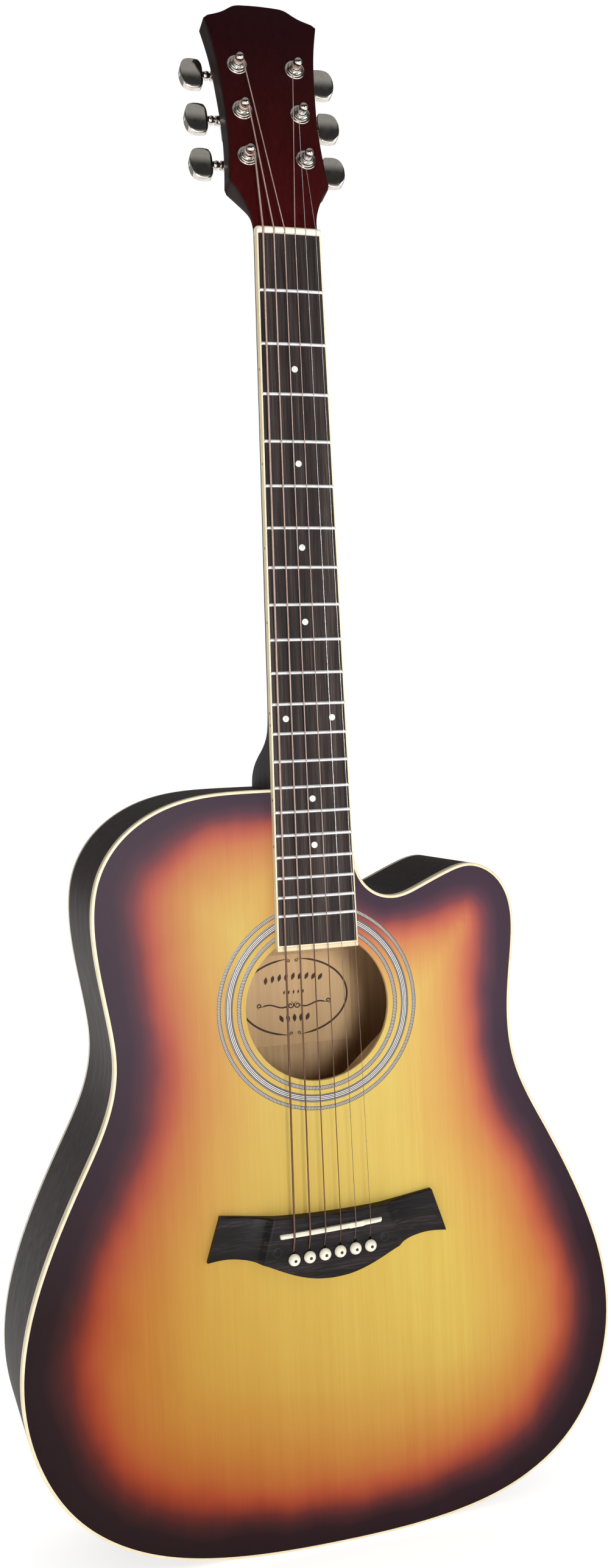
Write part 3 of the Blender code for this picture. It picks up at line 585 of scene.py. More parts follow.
def plastic(name, light, dark, roughness):
    """A smooth solid with faint mottling."""
    look = Look(name)
    mottle = look.noise((90, 90, 90), 4.0)
    fine = look.noise((810, 810, 810), 2.0)
    look.set("Base Color", look.ramp(mottle, ((0.3, dark), (0.7, light))))
    look.roughen(fine, roughness, 0.00001)
    return look.material


def painted_shade_below(look, colour):
    """A string's colour, darkened with painted shade over the sound hole and below."""
    height = look.axes()[2]
    rise = look.span(height, 0.40, 0.47, 0.0, 1.0)
    string_shade = look.ramp(rise, ((0.0, (150, 126, 112)), (1.0, (255, 255, 255))))
    return look.mix(1.0, colour, string_shade, "MULTIPLY")


def metal(name, light, dark, roughness, scale=(240, 240, 240), metallic=1.0, string=False):
    """Polished or drawn metal with small changes of tone; a string also gets painted shade over the sound
    hole and below.
    """
    look = Look(name, Metallic=metallic)
    mottle = look.noise(scale, 4.0)
    tone = look.ramp(mottle, ((0.3, dark), (0.7, light)))
    # Strings get painted shade over the sound hole and below.
    look.set("Base Color", painted_shade_below(look, tone) if string else tone)
    look.roughen(mottle, roughness, 0.000004)
    return look.material


def wound():
    """The outer winding of a bronze string: fine turns across its length."""
    look = Look("bronze", Metallic=0.7)
    turns = look.node("TexWave", look.place(), wave_type="BANDS", bands_direction="Z")
    turns.inputs["Scale"].default_value = 900.0
    shade = look.noise((60, 60, 25), 3.0)
    tone = look.ramp(shade, ((0.3, (196, 168, 154)), (0.7, (228, 204, 192))))
    # Painted shade in the grooves between the turns.
    groove_shade = look.ramp(turns.outputs["Fac"], ((0.0, (150, 140, 135)), (0.6, (255, 255, 255))))
    # Painted shade on the string over the sound hole and below.
    look.set("Base Color", look.mix(1.0, painted_shade_below(look, tone), groove_shade, "MULTIPLY"))
    look.roughen(shade, (0.28, 0.40))
    look.bump(turns.outputs["Fac"], 0.00005)
    return look.material


def pearl():
    look = Look("pearl", Coat_Weight=0.6, Coat_Roughness=0.08)
    cloud = look.noise((700, 300, 700), 4.0)
    shades = ((0.3, (176, 186, 188)), (0.5, (222, 222, 212)), (0.7, (238, 226, 224)))
    look.set("Base Color", look.ramp(cloud, shades))
    look.roughen(cloud, (0.18, 0.30))
    return look.material


ROPE_OUTER = (0.0672, 0.0697)
LINES_RING = (0.0592, 0.0644)
ROPE_INNER = (0.0534, 0.0562)


def make_looks():
    dark = ((0.30, (36, 24, 23)), (0.55, (44, 31, 29)), (0.75, (54, 40, 37)))
    neck = ((0.30, (22, 12, 12)), (0.55, (34, 20, 19)), (0.75, (44, 27, 25)))
    pale = ((0.25, (178, 140, 98)), (0.50, (206, 170, 124)), (0.75, (222, 190, 146)))
    rose = ((0.36, (12, 8, 8)), (0.48, (34, 26, 25)), (0.58, (54, 45, 42)), (0.70, (84, 74, 68)))
    black = ((0.34, (7, 4, 4)), (0.50, (20, 15, 16)), (0.68, (54, 46, 48)))
    end = ((0.30, (206, 184, 146)), (0.70, (226, 206, 170)))
    label = ((0.25, (212, 172, 124)), (0.50, (228, 190, 140)), (0.75, (236, 202, 154)))
    wire = ((220, 218, 216), (190, 188, 188), (0.20, 0.32), (60, 60, 60), 0.7)
    materials = (
        sunburst(),
        grained("dark_wood", dark, (260, 260, 14), (0.46, 0.58), 0.00003, Specular_IOR_Level=0.08),
        grained("neck_wood", neck, (300, 300, 12), (0.38, 0.50), 0.00003, Specular_IOR_Level=0.1),
        head_face(),
        grained("pale_wood", pale, (420, 420, 12), (0.62, 0.75), 0.00005),
        grained("label_wood", label, (260, 40, 9), (0.60, 0.70), 0.00003),
        grained("end_wood", end, (30, 300, 700), (0.45, 0.60), 0.00003),
        board_wood(rose),
        grained("black_wood", black, (50, 300, 900), (0.36, 0.50), 0.00006, Specular_IOR_Level=0.15),
        plastic("cream_binding", (232, 218, 186), (220, 204, 168), (0.30, 0.40)),
        plastic("bone", (240, 234, 216), (228, 220, 198), (0.26, 0.36)),
        plastic("dot", (26, 24, 24), (16, 15, 15), (0.3, 0.4)),
        plastic("ink", (78, 50, 32), (56, 34, 22), (0.6, 0.7)),
        rope("rope_outer", *ROPE_OUTER, 420),
        rope("rope_inner", *ROPE_INNER, 340),
        purfling("rosette_lines", *LINES_RING),
        pearl(),
        metal("chrome", (214, 208, 200), (198, 191, 182), (0.06, 0.13)),
        metal("fret_metal", (240, 240, 240), (220, 220, 222), (0.16, 0.28), metallic=0.5),
        metal("steel", *wire),
        metal("plain_string", *wire, string=True),
        wound(),
    )
    # The frame has materials of some of these names, so Blender adds a number after a dot.
    return {material.name.split(".")[0]: material for material in materials}


LOOKS = make_looks()


# ---- pieces ----------------------------------------------
def piece(name, shape, looks, body="root", hides=(), zone=None, sharp=35):
    """A named object of one or more looks; zone picks the look of each face."""
    mesh = as_mesh(name, shape)
    looks = (looks,) if isinstance(looks, str) else looks
    for look in looks:
        mesh.materials.append(LOOKS[look])
    if zone:
        for face in mesh.polygons:
            face.material_index = zone(face)
    mesh.shade_smooth()
    mesh.set_sharp_from_angle(angle=math.radians(sharp))
    item = placed(name, mesh)
    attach(item, body)
    if hides:
        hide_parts(*hides)
    return item


# ---- body ------------------------------------------------
LOWER_BOUT = (
    (-0.1394, 0.3410), (-0.1430, 0.3170), (-0.1630, 0.2720), (-0.1890, 0.2180), (-0.2060, 0.1620),
    (-0.2083, 0.1350), (-0.2010, 0.0910), (-0.1760, 0.0475), (-0.1330, 0.0180), (-0.0847, 0.0050),
    (-0.0400, 0.0008),
)
BASS_BOUT = (
    (-0.0400, 0.5142), (-0.0660, 0.5133), (-0.0985, 0.5064), (-0.1313, 0.4846), (-0.1455, 0.4603),
    (-0.1494, 0.4370), (-0.1482, 0.4100), (-0.1415, 0.3660),
)
CUTAWAY = (
    (0.1402, 0.3680), (0.1435, 0.3960), (0.1446, 0.4180), (0.1410, 0.4355), (0.1310, 0.4495),
    (0.1130, 0.4568), (0.0960, 0.4528), (0.0750, 0.4437), (0.0590, 0.4386), (0.0460, 0.4406),
    (0.0365, 0.4480), (0.0305, 0.4620), (0.0285, 0.4840), (0.0282, 0.5142),
)
TAIL = (0.0, 0.0)


def body_outline():
    """The body seen from the front, anticlockwise from the bass side of the neck joint."""
    treble_bout = [(-x, height) for x, height in reversed(LOWER_BOUT)]
    curve = spline(BASS_BOUT + LOWER_BOUT + (TAIL,) + tuple(treble_bout) + CUTAWAY)
    curve = thinned(curve, math.radians(1.6), 0.008, keep=(TAIL,))
    return [(-RIB_END, SHOULDER)] + curve + [(RIB_END, SHOULDER)]


# Places on the body's edge, and how far in the stain is half way from its dark to its red there.
BURST_WIDTHS = (
    (-0.060, 0.514, 0.0150), (-0.115, 0.497, 0.0265), (-0.149, 0.437, 0.0325), (-0.140, 0.345, 0.0250),
    (-0.154, 0.290, 0.0285), (-0.184, 0.230, 0.0300), (-0.204, 0.170, 0.0320), (-0.205, 0.110, 0.0350),
    (-0.180, 0.055, 0.0365), (-0.120, 0.015, 0.0275), (0.000, 0.000, 0.0225), (0.120, 0.015, 0.0300),
    (0.176, 0.050, 0.0340), (0.201, 0.091, 0.0270), (0.204, 0.170, 0.0245), (0.184, 0.230, 0.0262),
    (0.154, 0.290, 0.0240), (0.139, 0.345, 0.0195), (0.144, 0.410, 0.0235), (0.113, 0.456, 0.0235),
    (0.059, 0.438, 0.0155), (0.030, 0.480, 0.0150),
)
BURST_BLEND = 0.018  # how sharply a place's width gives way to its neighbours'


def burst_field(points, outline):
    """For points of the soundboard, the distance from its edge in stain widths."""
    edge = np.array(outline)
    following = np.roll(edge, -1, axis=0) - edge
    length = (following**2).sum(1)
    places = np.array([place[:2] for place in BURST_WIDTHS])
    widths = np.array([place[2] for place in BURST_WIDTHS])
    values = []
    for point in points:
        share = np.clip(((point - edge) * following).sum(1) / length, 0, 1)
        away = np.linalg.norm(edge + following * share[:, None] - point, axis=1).min()
        weights = 1 / (((places - point) ** 2).sum(1) + BURST_BLEND**2)
        values.append(away / ((weights * widths).sum() / weights.sum()))
    return values


def within(point, outline):
    """Whether a point lies inside an outline."""
    x, y = point
    inside = False
    for (ax, ay), (bx, by) in zip(outline, outline[1:] + outline[:1]):
        if (ay > y) != (by > y) and x < ax + (y - ay) * (bx - ax) / (by - ay):
            inside = not inside
    return inside


BOARD_GRID = 0.0055
HOLE_EDGE = 0.0005  # rounding of the sound hole's edge


def soundboard_shape(edge):
    """A plate meshed finely enough to carry the burst, with the sound hole's rim rounded."""
    hole = circle((0, HOLE_CENTRE), HOLE_RADIUS + HOLE_EDGE, 128)
    margin = inset(edge, 0.0025)
    rim = [tuple(point) for point in edge] + hole
    points = [Vector(point) for point in rim]
    for x in np.arange(-0.209, 0.2091, BOARD_GRID):
        for z in np.arange(0.002, 0.514, BOARD_GRID):
            clear = math.dist((x, z), (0, HOLE_CENTRE)) > HOLE_RADIUS + 0.003
            if clear and within((x, z), margin):
                points.append(Vector((x, z)))
    first = len(edge)
    edges = [(k, (k + 1) % first) for k in range(first)]
    edges += [(first + k, first + (k + 1) % len(hole)) for k in range(len(hole))]
    points, _, triangles, *_ = delaunay_2d_cdt(points, edges, [], 1, 1e-7)
    kept = []
    for triangle in triangles:
        centre = sum((points[k] for k in triangle), Vector((0, 0))) / 3
        if (centre - Vector((0, HOLE_CENTRE))).length > HOLE_RADIUS + HOLE_EDGE:
            kept.append(tuple(triangle))
    top = [on_body(point.x, point.y, 0) for point in points]
    bottom = [on_body(point.x, point.y, -PLATE) for point in points]
    count = len(points)
    faces = kept + [tuple(count + k for k in reversed(triangle)) for triangle in kept]
    faces += [(k, (k + 1) % first, count + (k + 1) % first, count + k) for k in range(first)]
    vertices = top + bottom
    start = len(vertices)
    drops = quarter(HOLE_EDGE, 0)[1:] + [(0, -PLATE)]
    for distance, height in drops:
        ring = circle((0, HOLE_CENTRE), HOLE_RADIUS + distance, len(hole))
        vertices += [on_body(x, z, height) for x, z in ring]
    rows = [first] + [start + row * len(hole) for row in range(len(drops))] + [count + first]
    for low, high in zip(rows, rows[1:]):
        for k in range(len(hole)):
            after = (k + 1) % len(hole)
            faces.append((low + k, low + after, high + after, high + k))
    return vertices, faces


def build_soundboard(outline):
    shape = soundboard_shape(inset(outline, BINDING_WIDTH))
    item = piece("soundboard_spruce", shape, ("sunburst_top", "pale_wood"), hides=("soundboard",),
                 zone=lambda face: 0 if face.normal.y < -0.3 else 1, sharp=50)
    field = item.data.attributes.new("burst", "FLOAT", "POINT")
    places = [np.array((vertex.co.x, vertex.co.z)) for vertex in item.data.vertices]
    field.data.foreach_set("value", burst_field(places, outline))


def build_back(outline):
    edge = inset(outline, BINDING_WIDTH)
    piece("back_board", prism(edge, -BODY_DEPTH, PLATE - BODY_DEPTH, on_body), ("dark_wood", "pale_wood"),
          hides=("back_plate",), zone=lambda face: 1 if face.normal.y < -0.5 else 0)


def build_sides(outline):
    """The bent sides: dark outside, bare wood inside."""
    inner = inset(outline, RIB)
    tail = min(range(len(outline)), key=lambda k: abs(outline[k][0]) + outline[k][1])
    low, high = BINDING_DEPTH - BODY_DEPTH, -BINDING_DEPTH
    for name, run in (("side_bass", slice(0, tail + 1)), ("side_treble", slice(tail, len(outline)))):
        rings = []
        for (a, b), (c, d) in zip(outline[run], inner[run]):
            corners = ((a, b, low), (a, b, high), (c, d, high), (c, d, low))
            rings.append([on_body(*corner) for corner in corners])
        shape = shell_of(rings, False)
        piece(name + "_rib", shape, ("dark_wood", "pale_wood"), hides=(name,),
              zone=lambda face: 1 if face.index % 4 == 2 else 0)


BINDING_ARRIS = 0.0009


def build_bindings(outline):
    """Cream strips with a rounded arris round both edges of the body."""
    front = [(0, -BINDING_DEPTH), *reversed(quarter(BINDING_ARRIS, 0))]
    front += [(BINDING_WIDTH, 0), (BINDING_WIDTH, -BINDING_DEPTH)]
    back = [(distance, -BODY_DEPTH - height) for distance, height in front]
    for name, profile in (("top_binding", front), ("back_binding", back)):
        piece(name + "_strip", band(outline, profile, on_body), "cream_binding", hides=(name,), sharp=50)


# ---- sound hole ------------------------------------------
RING_SIDES = 160
LABEL_CENTRE = (0.0117, 0.3590)
LABEL_HALF = (0.0440, 0.0350)
OVAL = (0.0410, 0.0280)
LABEL_OUT = PLATE - BODY_DEPTH + 0.0008
PRINT_HEIGHT = 0.00008


def ring_shape(inner, outer):
    """A flat inlaid ring that stands a hair above the wood."""
    profile = ((outer, -0.0004), (outer, 0.00003), (outer - 0.0001, 0.00006), (inner + 0.0001, 0.00006),
               (inner, 0.00003), (inner, -0.0004))
    rings = []
    for k in range(RING_SIDES):
        x, z = math.cos(2 * math.pi * k / RING_SIDES), math.sin(2 * math.pi * k / RING_SIDES)
        rings.append([on_body(reach * x, HOLE_CENTRE + reach * z, out) for reach, out in profile])
    return shell_of(rings, True)


def build_rosette():
    rings = (("rosette_outer", ROPE_OUTER, "rope_outer"), ("rosette_middle", LINES_RING, "rosette_lines"),
             ("rosette_inner", ROPE_INNER, "rope_inner"))
    for name, (inner, outer), look in rings:
        hides = ("rosette",) if name == "rosette_middle" else ()
        piece(name, ring_shape(inner, outer), look, hides=hides)


def printed(line):
    """A flat line printed on the label, from its points and their half widths as vectors."""
    rings = []
    for point, reach in line:
        corners = []
        for side, height in ((1, 0), (-1, 0), (-1, PRINT_HEIGHT), (1, PRINT_HEIGHT)):
            corners.append(on_body(point.x + side * reach.x, point.y + side * reach.y, LABEL_OUT + height))
        rings.append(corners)
    return shell_of(rings, False)


def ribbon(points, width):
    """A printed line of even width, tapering at its ends."""
    points = [Vector(point) for point in points]
    last = len(points) - 1
    line = []
    for i, point in enumerate(points):
        side = (points[min(i + 1, last)] - points[max(i - 1, 0)]).orthogonal().normalized()
        line.append((point, side * width / 2 * min(1, (min(i, last - i) + 1) / 6)))
    return printed(line)


def spiral(centre, radius, start, turns, side):
    """A curl that winds into its centre."""
    points = []
    steps = 28
    for k in range(steps + 1):
        share = k / steps
        angle = start + side * 2 * math.pi * turns * share
        reach = radius * (1 - 0.8 * share)
        points.append((centre[0] + reach * math.cos(angle), centre[1] + reach * math.sin(angle)))
    return points


def leaf(centre, length, width, turn):
    """A pointed oval, part of a row of leaves."""
    along = Vector((math.cos(turn), math.sin(turn)))
    side = Vector((-math.sin(turn), math.cos(turn)))
    line = []
    for k in range(13):
        share = k / 12 - 0.5
        reach = width / 2 * math.cos(math.pi * share) + 0.00005
        line.append((Vector(centre) + along * share * length, side * reach))
    return printed(line)


def build_label():
    """A thin wooden panel on the inside of the back, printed with an oval, leaves and a scroll."""
    cx, cz = LABEL_CENTRE
    wide, tall = LABEL_HALF
    corners = rectangle(cx - wide, cz - tall, cx + wide, cz + tall)
    panel = rounded(prism(corners, PLATE - BODY_DEPTH, LABEL_OUT, on_body), 0.0003, 2)
    piece("label_panel", panel, "label_wood")
    lines = []
    for side in (-1, 1):
        arc = []
        for k in range(61):
            angle = -math.pi / 2 + 0.09 + (math.pi - 0.18) * k / 60
            arc.append((cx + side * OVAL[0] * math.cos(angle), cz + OVAL[1] * math.sin(angle)))
        lines.append(ribbon(arc, 0.0014))
        for end in (-1, 1):
            centre = (cx + side * 0.0028, cz + end * (OVAL[1] - 0.0012))
            lines.append(ribbon(spiral(centre, 0.0014, end * math.pi / 2, 1.2, -side * end), 0.0007))
        wave = []
        for k in range(41):
            share = k / 40
            height = -0.0060 - 0.0016 * math.sin(2 * math.pi * share) * (1 - 0.3 * share)
            wave.append((cx + side * (0.0035 + 0.0215 * share), cz + height))
        lines.append(ribbon(wave, 0.0011))
        inner = spiral((cx + side * 0.0026, cz - 0.0062), 0.0026, math.pi / 2, 1.4, side)
        outer = spiral((cx + side * 0.0262, cz - 0.0050), 0.0020, -math.pi / 2, 1.3, side)
        lines += [ribbon(inner, 0.0009), ribbon(outer, 0.0009)]
    for k in range(-4, 5):
        centre = (cx + 0.0052 * k, cz + 0.0150 - 0.00012 * k * k)
        lines.append(leaf(centre, 0.0058, 0.0026, math.radians(68 - 3 * k)))
    for k in range(-2, 3):
        lines.append(leaf((cx + 0.0036 * k, cz + 0.0035), 0.0030, 0.0012, math.radians(75)))
        lines.append(leaf((cx + 0.0050 * k, cz - 0.0155), 0.0060, 0.0028, math.radians(90 - 12 * k)))
    piece("label_ornament", several(lines), "ink")


# ---- bridge ----------------------------------------------
# From the middle of the bridge to one tip: the upper edge's x and down, the lower edge's, and the height.
BRIDGE_SECTIONS = (
    (0.0000, 0.6450, 0.0000, 0.6880, BRIDGE_TOP), (0.0110, 0.6449, 0.0120, 0.6870, BRIDGE_TOP),
    (0.0210, 0.6446, 0.0240, 0.6838, BRIDGE_TOP), (0.0300, 0.6442, 0.0360, 0.6788, BRIDGE_TOP),
    (0.0395, 0.6435, 0.0480, 0.6732, BRIDGE_TOP), (0.0399, 0.64345, 0.0484, 0.67305, 0.0090),
    (0.0432, 0.6430, 0.0518, 0.6716, 0.0064), (0.0500, 0.6421, 0.0588, 0.6695, 0.0045),
    (0.0620, 0.6404, 0.0712, 0.6677, 0.0039), (0.0745, 0.6387, 0.0842, 0.6684, 0.0044),
)
PLATFORM = 4  # the section where the raised middle of the bridge ends
BRIDGE_EDGE = 0.0011


def bridge_profile():
    """More sections between the given ones, straight along the platform's top and smooth elsewhere."""
    plan = spline([section[:4] for section in BRIDGE_SECTIONS], 6)
    heights = [(k, section[4]) for k, section in enumerate(BRIDGE_SECTIONS)]
    wing = spline(heights[PLATFORM + 1:], 6)
    out = [BRIDGE_TOP] * (PLATFORM * 6) + list(np.linspace(BRIDGE_TOP, wing[0][1], 7))[:-1]
    out += [height for _, height in wing]
    return [(*place, height) for place, height in zip(plan, out)]


def bridge_ring(upper_x, upper_down, lower_x, lower_down, height):
    upper = Vector((upper_x, upper_down))
    lower = Vector((lower_x, lower_down))
    inwards = (lower - upper).normalized()
    edge = quarter(BRIDGE_EDGE, height)
    ring = [(upper, 0.0)] + [(upper + inwards * distance, out) for distance, out in reversed(edge)]
    ring += [(lower - inwards * distance, out) for distance, out in edge] + [(lower, 0.0)]
    return [at(point.x, point.y, out) for point, out in ring]


def string_x(index, spacing):
    return (index - (len(STRINGS) - 1) / 2) * spacing


def pin_place(index):
    x = string_x(index, BRIDGE_SPACING)
    return x, PIN_DOWN - x * PIN_LEAN


def camber_drop(x):
    return x * x / (2 * CAMBER_RADIUS)


PLUG_PLACES = ((-0.0382, 0.6658), (0.0374, 0.6650))
PLUG_RADIUS = 0.0028
CHANNEL_HALF_WIDTH = 0.0008  # of the ramp that leads each string up from its pin
CHANNEL_LENGTH = 0.0062


def build_bridge():
    sections = bridge_profile()
    rings = [bridge_ring(-a, b, -c, d, out) for a, b, c, d, out in reversed(sections[1:])]
    rings += [bridge_ring(*section) for section in sections]
    shape = shell_of(rings, False)
    half_length, half_width = SADDLE_HALF_LENGTH + GAP, SADDLE_HALF_WIDTH + 0.0001
    corners = rectangle(-half_length, -half_width, half_length, half_width)
    slot = [(x, SADDLE_DOWN + y - x * SADDLE_LEAN) for x, y in corners]
    cutters = [prism(slot, 0.0040, 0.0120, at)]
    for k in range(len(STRINGS)):
        x, down = pin_place(k)
        channel = rectangle(x - CHANNEL_HALF_WIDTH, down - CHANNEL_LENGTH, x + CHANNEL_HALF_WIDTH, down)
        cutters.append(prism(channel, 0.0045, 0.0120, at))
    for cutter in cutters:
        shape = combined(shape, cutter, "DIFFERENCE")
    piece("bridge_block", shape, "black_wood", hides=("bridge",), sharp=40)
    profile = [(PLUG_RADIUS, -0.002), (PLUG_RADIUS, 0.00002), (PLUG_RADIUS - 0.00025, 0.00012), (0, 0.00012)]
    for name, (x, down) in zip(("bass", "treble"), PLUG_PLACES):
        place = upright(x, down, BRIDGE_TOP)
        ring = [(PLUG_RADIUS + 0.0002, -0.002), (PLUG_RADIUS + 0.0002, 0.00006), (PLUG_RADIUS, 0.00006),
                (PLUG_RADIUS, -0.002)]
        piece("bridge_plug_" + name, moved(turned(profile, 40), place), "black_wood")
        piece("bridge_plug_ring_" + name, moved(turned(ring, 40, closed=True), place), "dot")


# Places along the saddle, as shares of its half length, and how far its crest leans down from its middle.
SADDLE_CREST = (
    (-1.0, -0.0003), (-0.88, -0.0003), (-0.85, 0.0004), (0.31, 0.0004), (0.34, 0.0009), (0.60, 0.0009),
    (0.64, 0.0003), (0.87, 0.0003), (0.90, -0.0003), (1.0, -0.0003),
)


def build_saddle():
    """A bone saddle whose crest steps back and forth to tune each string."""
    shares = [share for share, _ in SADDLE_CREST]
    leans = [lean for _, lean in SADDLE_CREST]
    rings = []
    ends = 0.0022 / SADDLE_HALF_LENGTH
    runs = (np.linspace(-1, 1, 25), shares, np.linspace(1 - ends, 1, 5), np.linspace(-1, -1 + ends, 5))
    for share in np.unique(np.concatenate(runs)):
        x = share * SADDLE_HALF_LENGTH
        middle = SADDLE_DOWN - x * SADDLE_LEAN
        crest = float(np.interp(share, shares, leans))
        beyond = max(0, (abs(share) - 1 + ends) / ends)
        drop = 0.0018 * (1 - math.sqrt(max(0, 1 - beyond**2)))
        top = SADDLE_TOP - camber_drop(x) - drop
        wide = SADDLE_HALF_WIDTH
        ring = [(-wide, 0.0042), (-wide, top - 0.0012), (crest - 0.0005, top - 0.0001), (crest, top)]
        ring += [(crest + 0.0005, top - 0.0001), (wide, top - 0.0012), (wide, 0.0042)]
        rings.append([at(x, middle + y, out) for y, out in ring])
    piece("saddle_bone", shell_of(rings, False), "bone", hides=("saddle",), sharp=50)


def build_pins():
    """Domed bridge pins, each with a black dot let into its head."""
    dome = [(0.0026, -0.0004), (0.0036, -0.0002), (0.0041, 0.0004), (0.0040, 0.0011), (0.0035, 0.0022),
            (0.0026, 0.0031), (0.0017, 0.0036), (0.0011, 0.0038)]
    profile = [(0, -0.0215), (0.0014, -0.0215), (0.0018, -0.0205)] + spline(dome, 3)
    profile += [(0.00105, 0.00372), (0.00095, 0.00384), (0.0005, 0.00392), (0, 0.00394)]
    for k, (note, *_) in enumerate(STRINGS):
        x, down = pin_place(k)
        place = upright(x, down, BRIDGE_TOP + GAP)
        axis = at(x, down, 0)

        def zone(face, axis=axis):
            centre = face.center
            near = math.hypot(centre.x - axis.x, centre.z - axis.z) < 0.00104
            return 1 if near and centre.y < axis.y - BRIDGE_TOP else 0

        piece("pin_" + note, moved(turned(profile, 32), place), ("bone", "dot"),
              hides=("bridge_pin_" + note,), zone=zone)


# ---- neck ------------------------------------------------
# Down from the nut, the neck's depth there and half the width of its underside.
NECK_STATIONS = (
    (-NUT_BACK, 0.0145, 0.0), (0.060, 0.0152, 0.0), (0.180, 0.0164, 0.0), (0.290, 0.0172, 0.0),
    (0.308, 0.0184, 0.0), (0.319, 0.0250, 0.003), (0.326, 0.0390, 0.006), (0.331, 0.0560, 0.008),
    (0.336, 0.0730, 0.010), (0.341, 0.0840, 0.0112), (0.347, 0.0920, 0.012), (0.353, 0.0955, 0.0125),
    (JOINT_DOWN, 0.0970, 0.0125),
)
HEAD_NECK = (
    (0.02185, 0.0030), (0.0225, 0.0090), (0.0243, 0.0160), (0.0270, 0.0228), (0.0303, 0.0290),
    (0.0335, 0.0330),
)
HEAD_SIDE = (
    (0.0344, 0.0365), (0.0327, 0.0540), (0.0317, 0.0780), (0.0329, 0.1070), (0.0356, 0.1360),
    (0.0394, 0.1562),
)
HEAD_CROWN = (
    (0.0365, 0.1586), (0.0320, 0.1601), (0.0270, 0.1621), (0.0222, 0.1650), (0.0180, 0.1675),
    (0.0120, 0.1686), (0.0, 0.1690),
)
HEAD_ARRIS = 0.0011
NECK_ROUND = 0.0200  # how far the underside is drawn in at the nut
ROUND_END = 0.0340  # where along the headstock its underside is flat from edge to edge


def half_width(down):
    """Half the width of the neck and the fingerboard."""
    return NUT_HALF_WIDTH + (BOARD_HALF_WIDTH - NUT_HALF_WIDTH) * down / BOARD_LENGTH


def neck_ring(down, depth, underside):
    """Half an ellipse under a flat top, drawn in to a wedge where it deepens into the heel."""
    steps = 36
    wide = half_width(down)
    narrowing = 1 + 0.9 * min(1, max(0, (depth - 0.018) / 0.05))
    ring = []
    for k in range(steps + 1):
        angle = math.pi * k / steps
        reach = underside + (wide - underside) * abs(math.cos(angle)) ** narrowing
        across = 0 if 2 * k == steps else math.copysign(reach, math.cos(angle))
        ring.append(at(across, down, -depth * math.sin(angle)))
    return ring


def head_outline():
    """The headstock's face, anticlockwise from the treble side of the nut."""
    half = [(NUT_HALF_WIDTH, -0.0010)]
    for run in (HEAD_NECK, HEAD_SIDE, HEAD_CROWN):
        half += thinned(spline(run), math.radians(2.5), 0.006)
    return mirrored(half)


def on_head_face(face):
    """1 for the faces of the headstock's front, 0 elsewhere."""
    outwards = HEAD_FRAME.to_3x3() @ Vector((0, 0, 1))
    return 1 if face.normal.dot(outwards) > 0.93 and face.center.z > NUT_HEIGHT + NUT_BACK else 0


def head_plate():
    """The headstock, whose underside is round like the neck's near the nut and flat further up."""
    outline = head_outline()
    towards = [Vector(inner) - Vector(point) for inner, point in zip(inset(outline, 1.0), outline)]
    edge = quarter(HEAD_ARRIS, 0)
    layers = [(distance, height, 0) for distance, height in edge]
    for depth in (0.25, 0.45, 0.62, 0.75, 0.85, 0.92):
        layers.append((0, -HEAD_THICKNESS * depth, NECK_ROUND * (1 - math.sqrt(1 - depth**2))))
    for distance, height in reversed(edge):
        low = -HEAD_THICKNESS - height
        depth = min(1, -low / HEAD_THICKNESS)
        layers.append((distance, low, NECK_ROUND * (1 - math.sqrt(1 - depth**2))))
    rings = []
    for distance, height, drawn_in in layers:
        ring = []
        for point, towards_middle in zip(outline, towards):
            share = min(1, max(0, (ROUND_END - point[1]) / ROUND_END))
            share = share * share * (3 - 2 * share)
            place = Vector(point) + towards_middle * (distance * (1 - share))
            ring.append(on_head(place.x - math.copysign(drawn_in * share, place.x), place.y, height))
        rings.append(ring)
    return shell_of(rings, False)


def build_neck():
    stations = spline(NECK_STATIONS, 5)
    shaft = shell_of([neck_ring(down, depth, max(0, under)) for down, depth, under in stations], False)
    shape = combined(shaft, head_plate(), "UNION")
    tenon = rectangle(-0.0100, JOINT_DOWN - 0.002, 0.0100, JOINT_DOWN + 0.018)
    shape = combined(shape, prism(tenon, -0.080, -0.020, at), "UNION")
    piece("neck_and_head", shape, ("neck_wood", "head_face"), hides=("neck",), zone=on_head_face, sharp=32)


NUT_CORNER = 0.0012  # rounding of the nut's top corners


def build_nut():
    """A bone nut with a rounded top and a slot for each string."""
    front = -NUT_FRONT - 0.0001
    places = list(np.linspace(-1, 1, 33) * NUT_HALF_WIDTH)
    cuts = []
    for k, (_, radius, *_) in enumerate(STRINGS):
        x = string_x(k, NUT_SPACING)
        for side in (-1, 1):
            places += [x + side * (radius + 0.00010), x + side * (radius + 0.00014)]
        cuts.append((x, radius + 0.00012))
    rings = []
    for x in sorted(places):
        beyond = max(0, (abs(x) - NUT_HALF_WIDTH + NUT_CORNER) / NUT_CORNER)
        top = NUT_TOP - camber_drop(x) - NUT_CORNER * (1 - math.sqrt(max(0, 1 - beyond**2)))
        cut = any(abs(x - middle) < reach for middle, reach in cuts)
        crest = NUT_SLOT - camber_drop(x) if cut else top
        ring = [(-NUT_BACK, 0.0), (-NUT_BACK, min(crest, top - 0.0016)), (-0.0052, min(crest, top - 0.0006))]
        ring += [(-0.0044, crest), (front - 0.0009, crest), (front - 0.0003, min(crest, top - 0.0002))]
        ring += [(front, min(crest, top - 0.0008)), (front, 0.0)]
        rings.append([at(x, down, out) for down, out in ring])
    piece("nut_bone", shell_of(rings, False), "bone", hides=("nut",), sharp=45)


FRET_COUNT = 20
END_STRIP = 0.0026
FRET_HALF_WIDTH = 0.0011
FRET_HEIGHT = 0.0011
FRET_SUNK = 0.0002
DOT_FRETS = (3, 5, 7, 9, 12, 15, 17)
DOT_RADIUS = 0.0021


def fret_down(number):
    return SCALE_LENGTH * (1 - 2 ** (-number / 12)) - NUT_FRONT


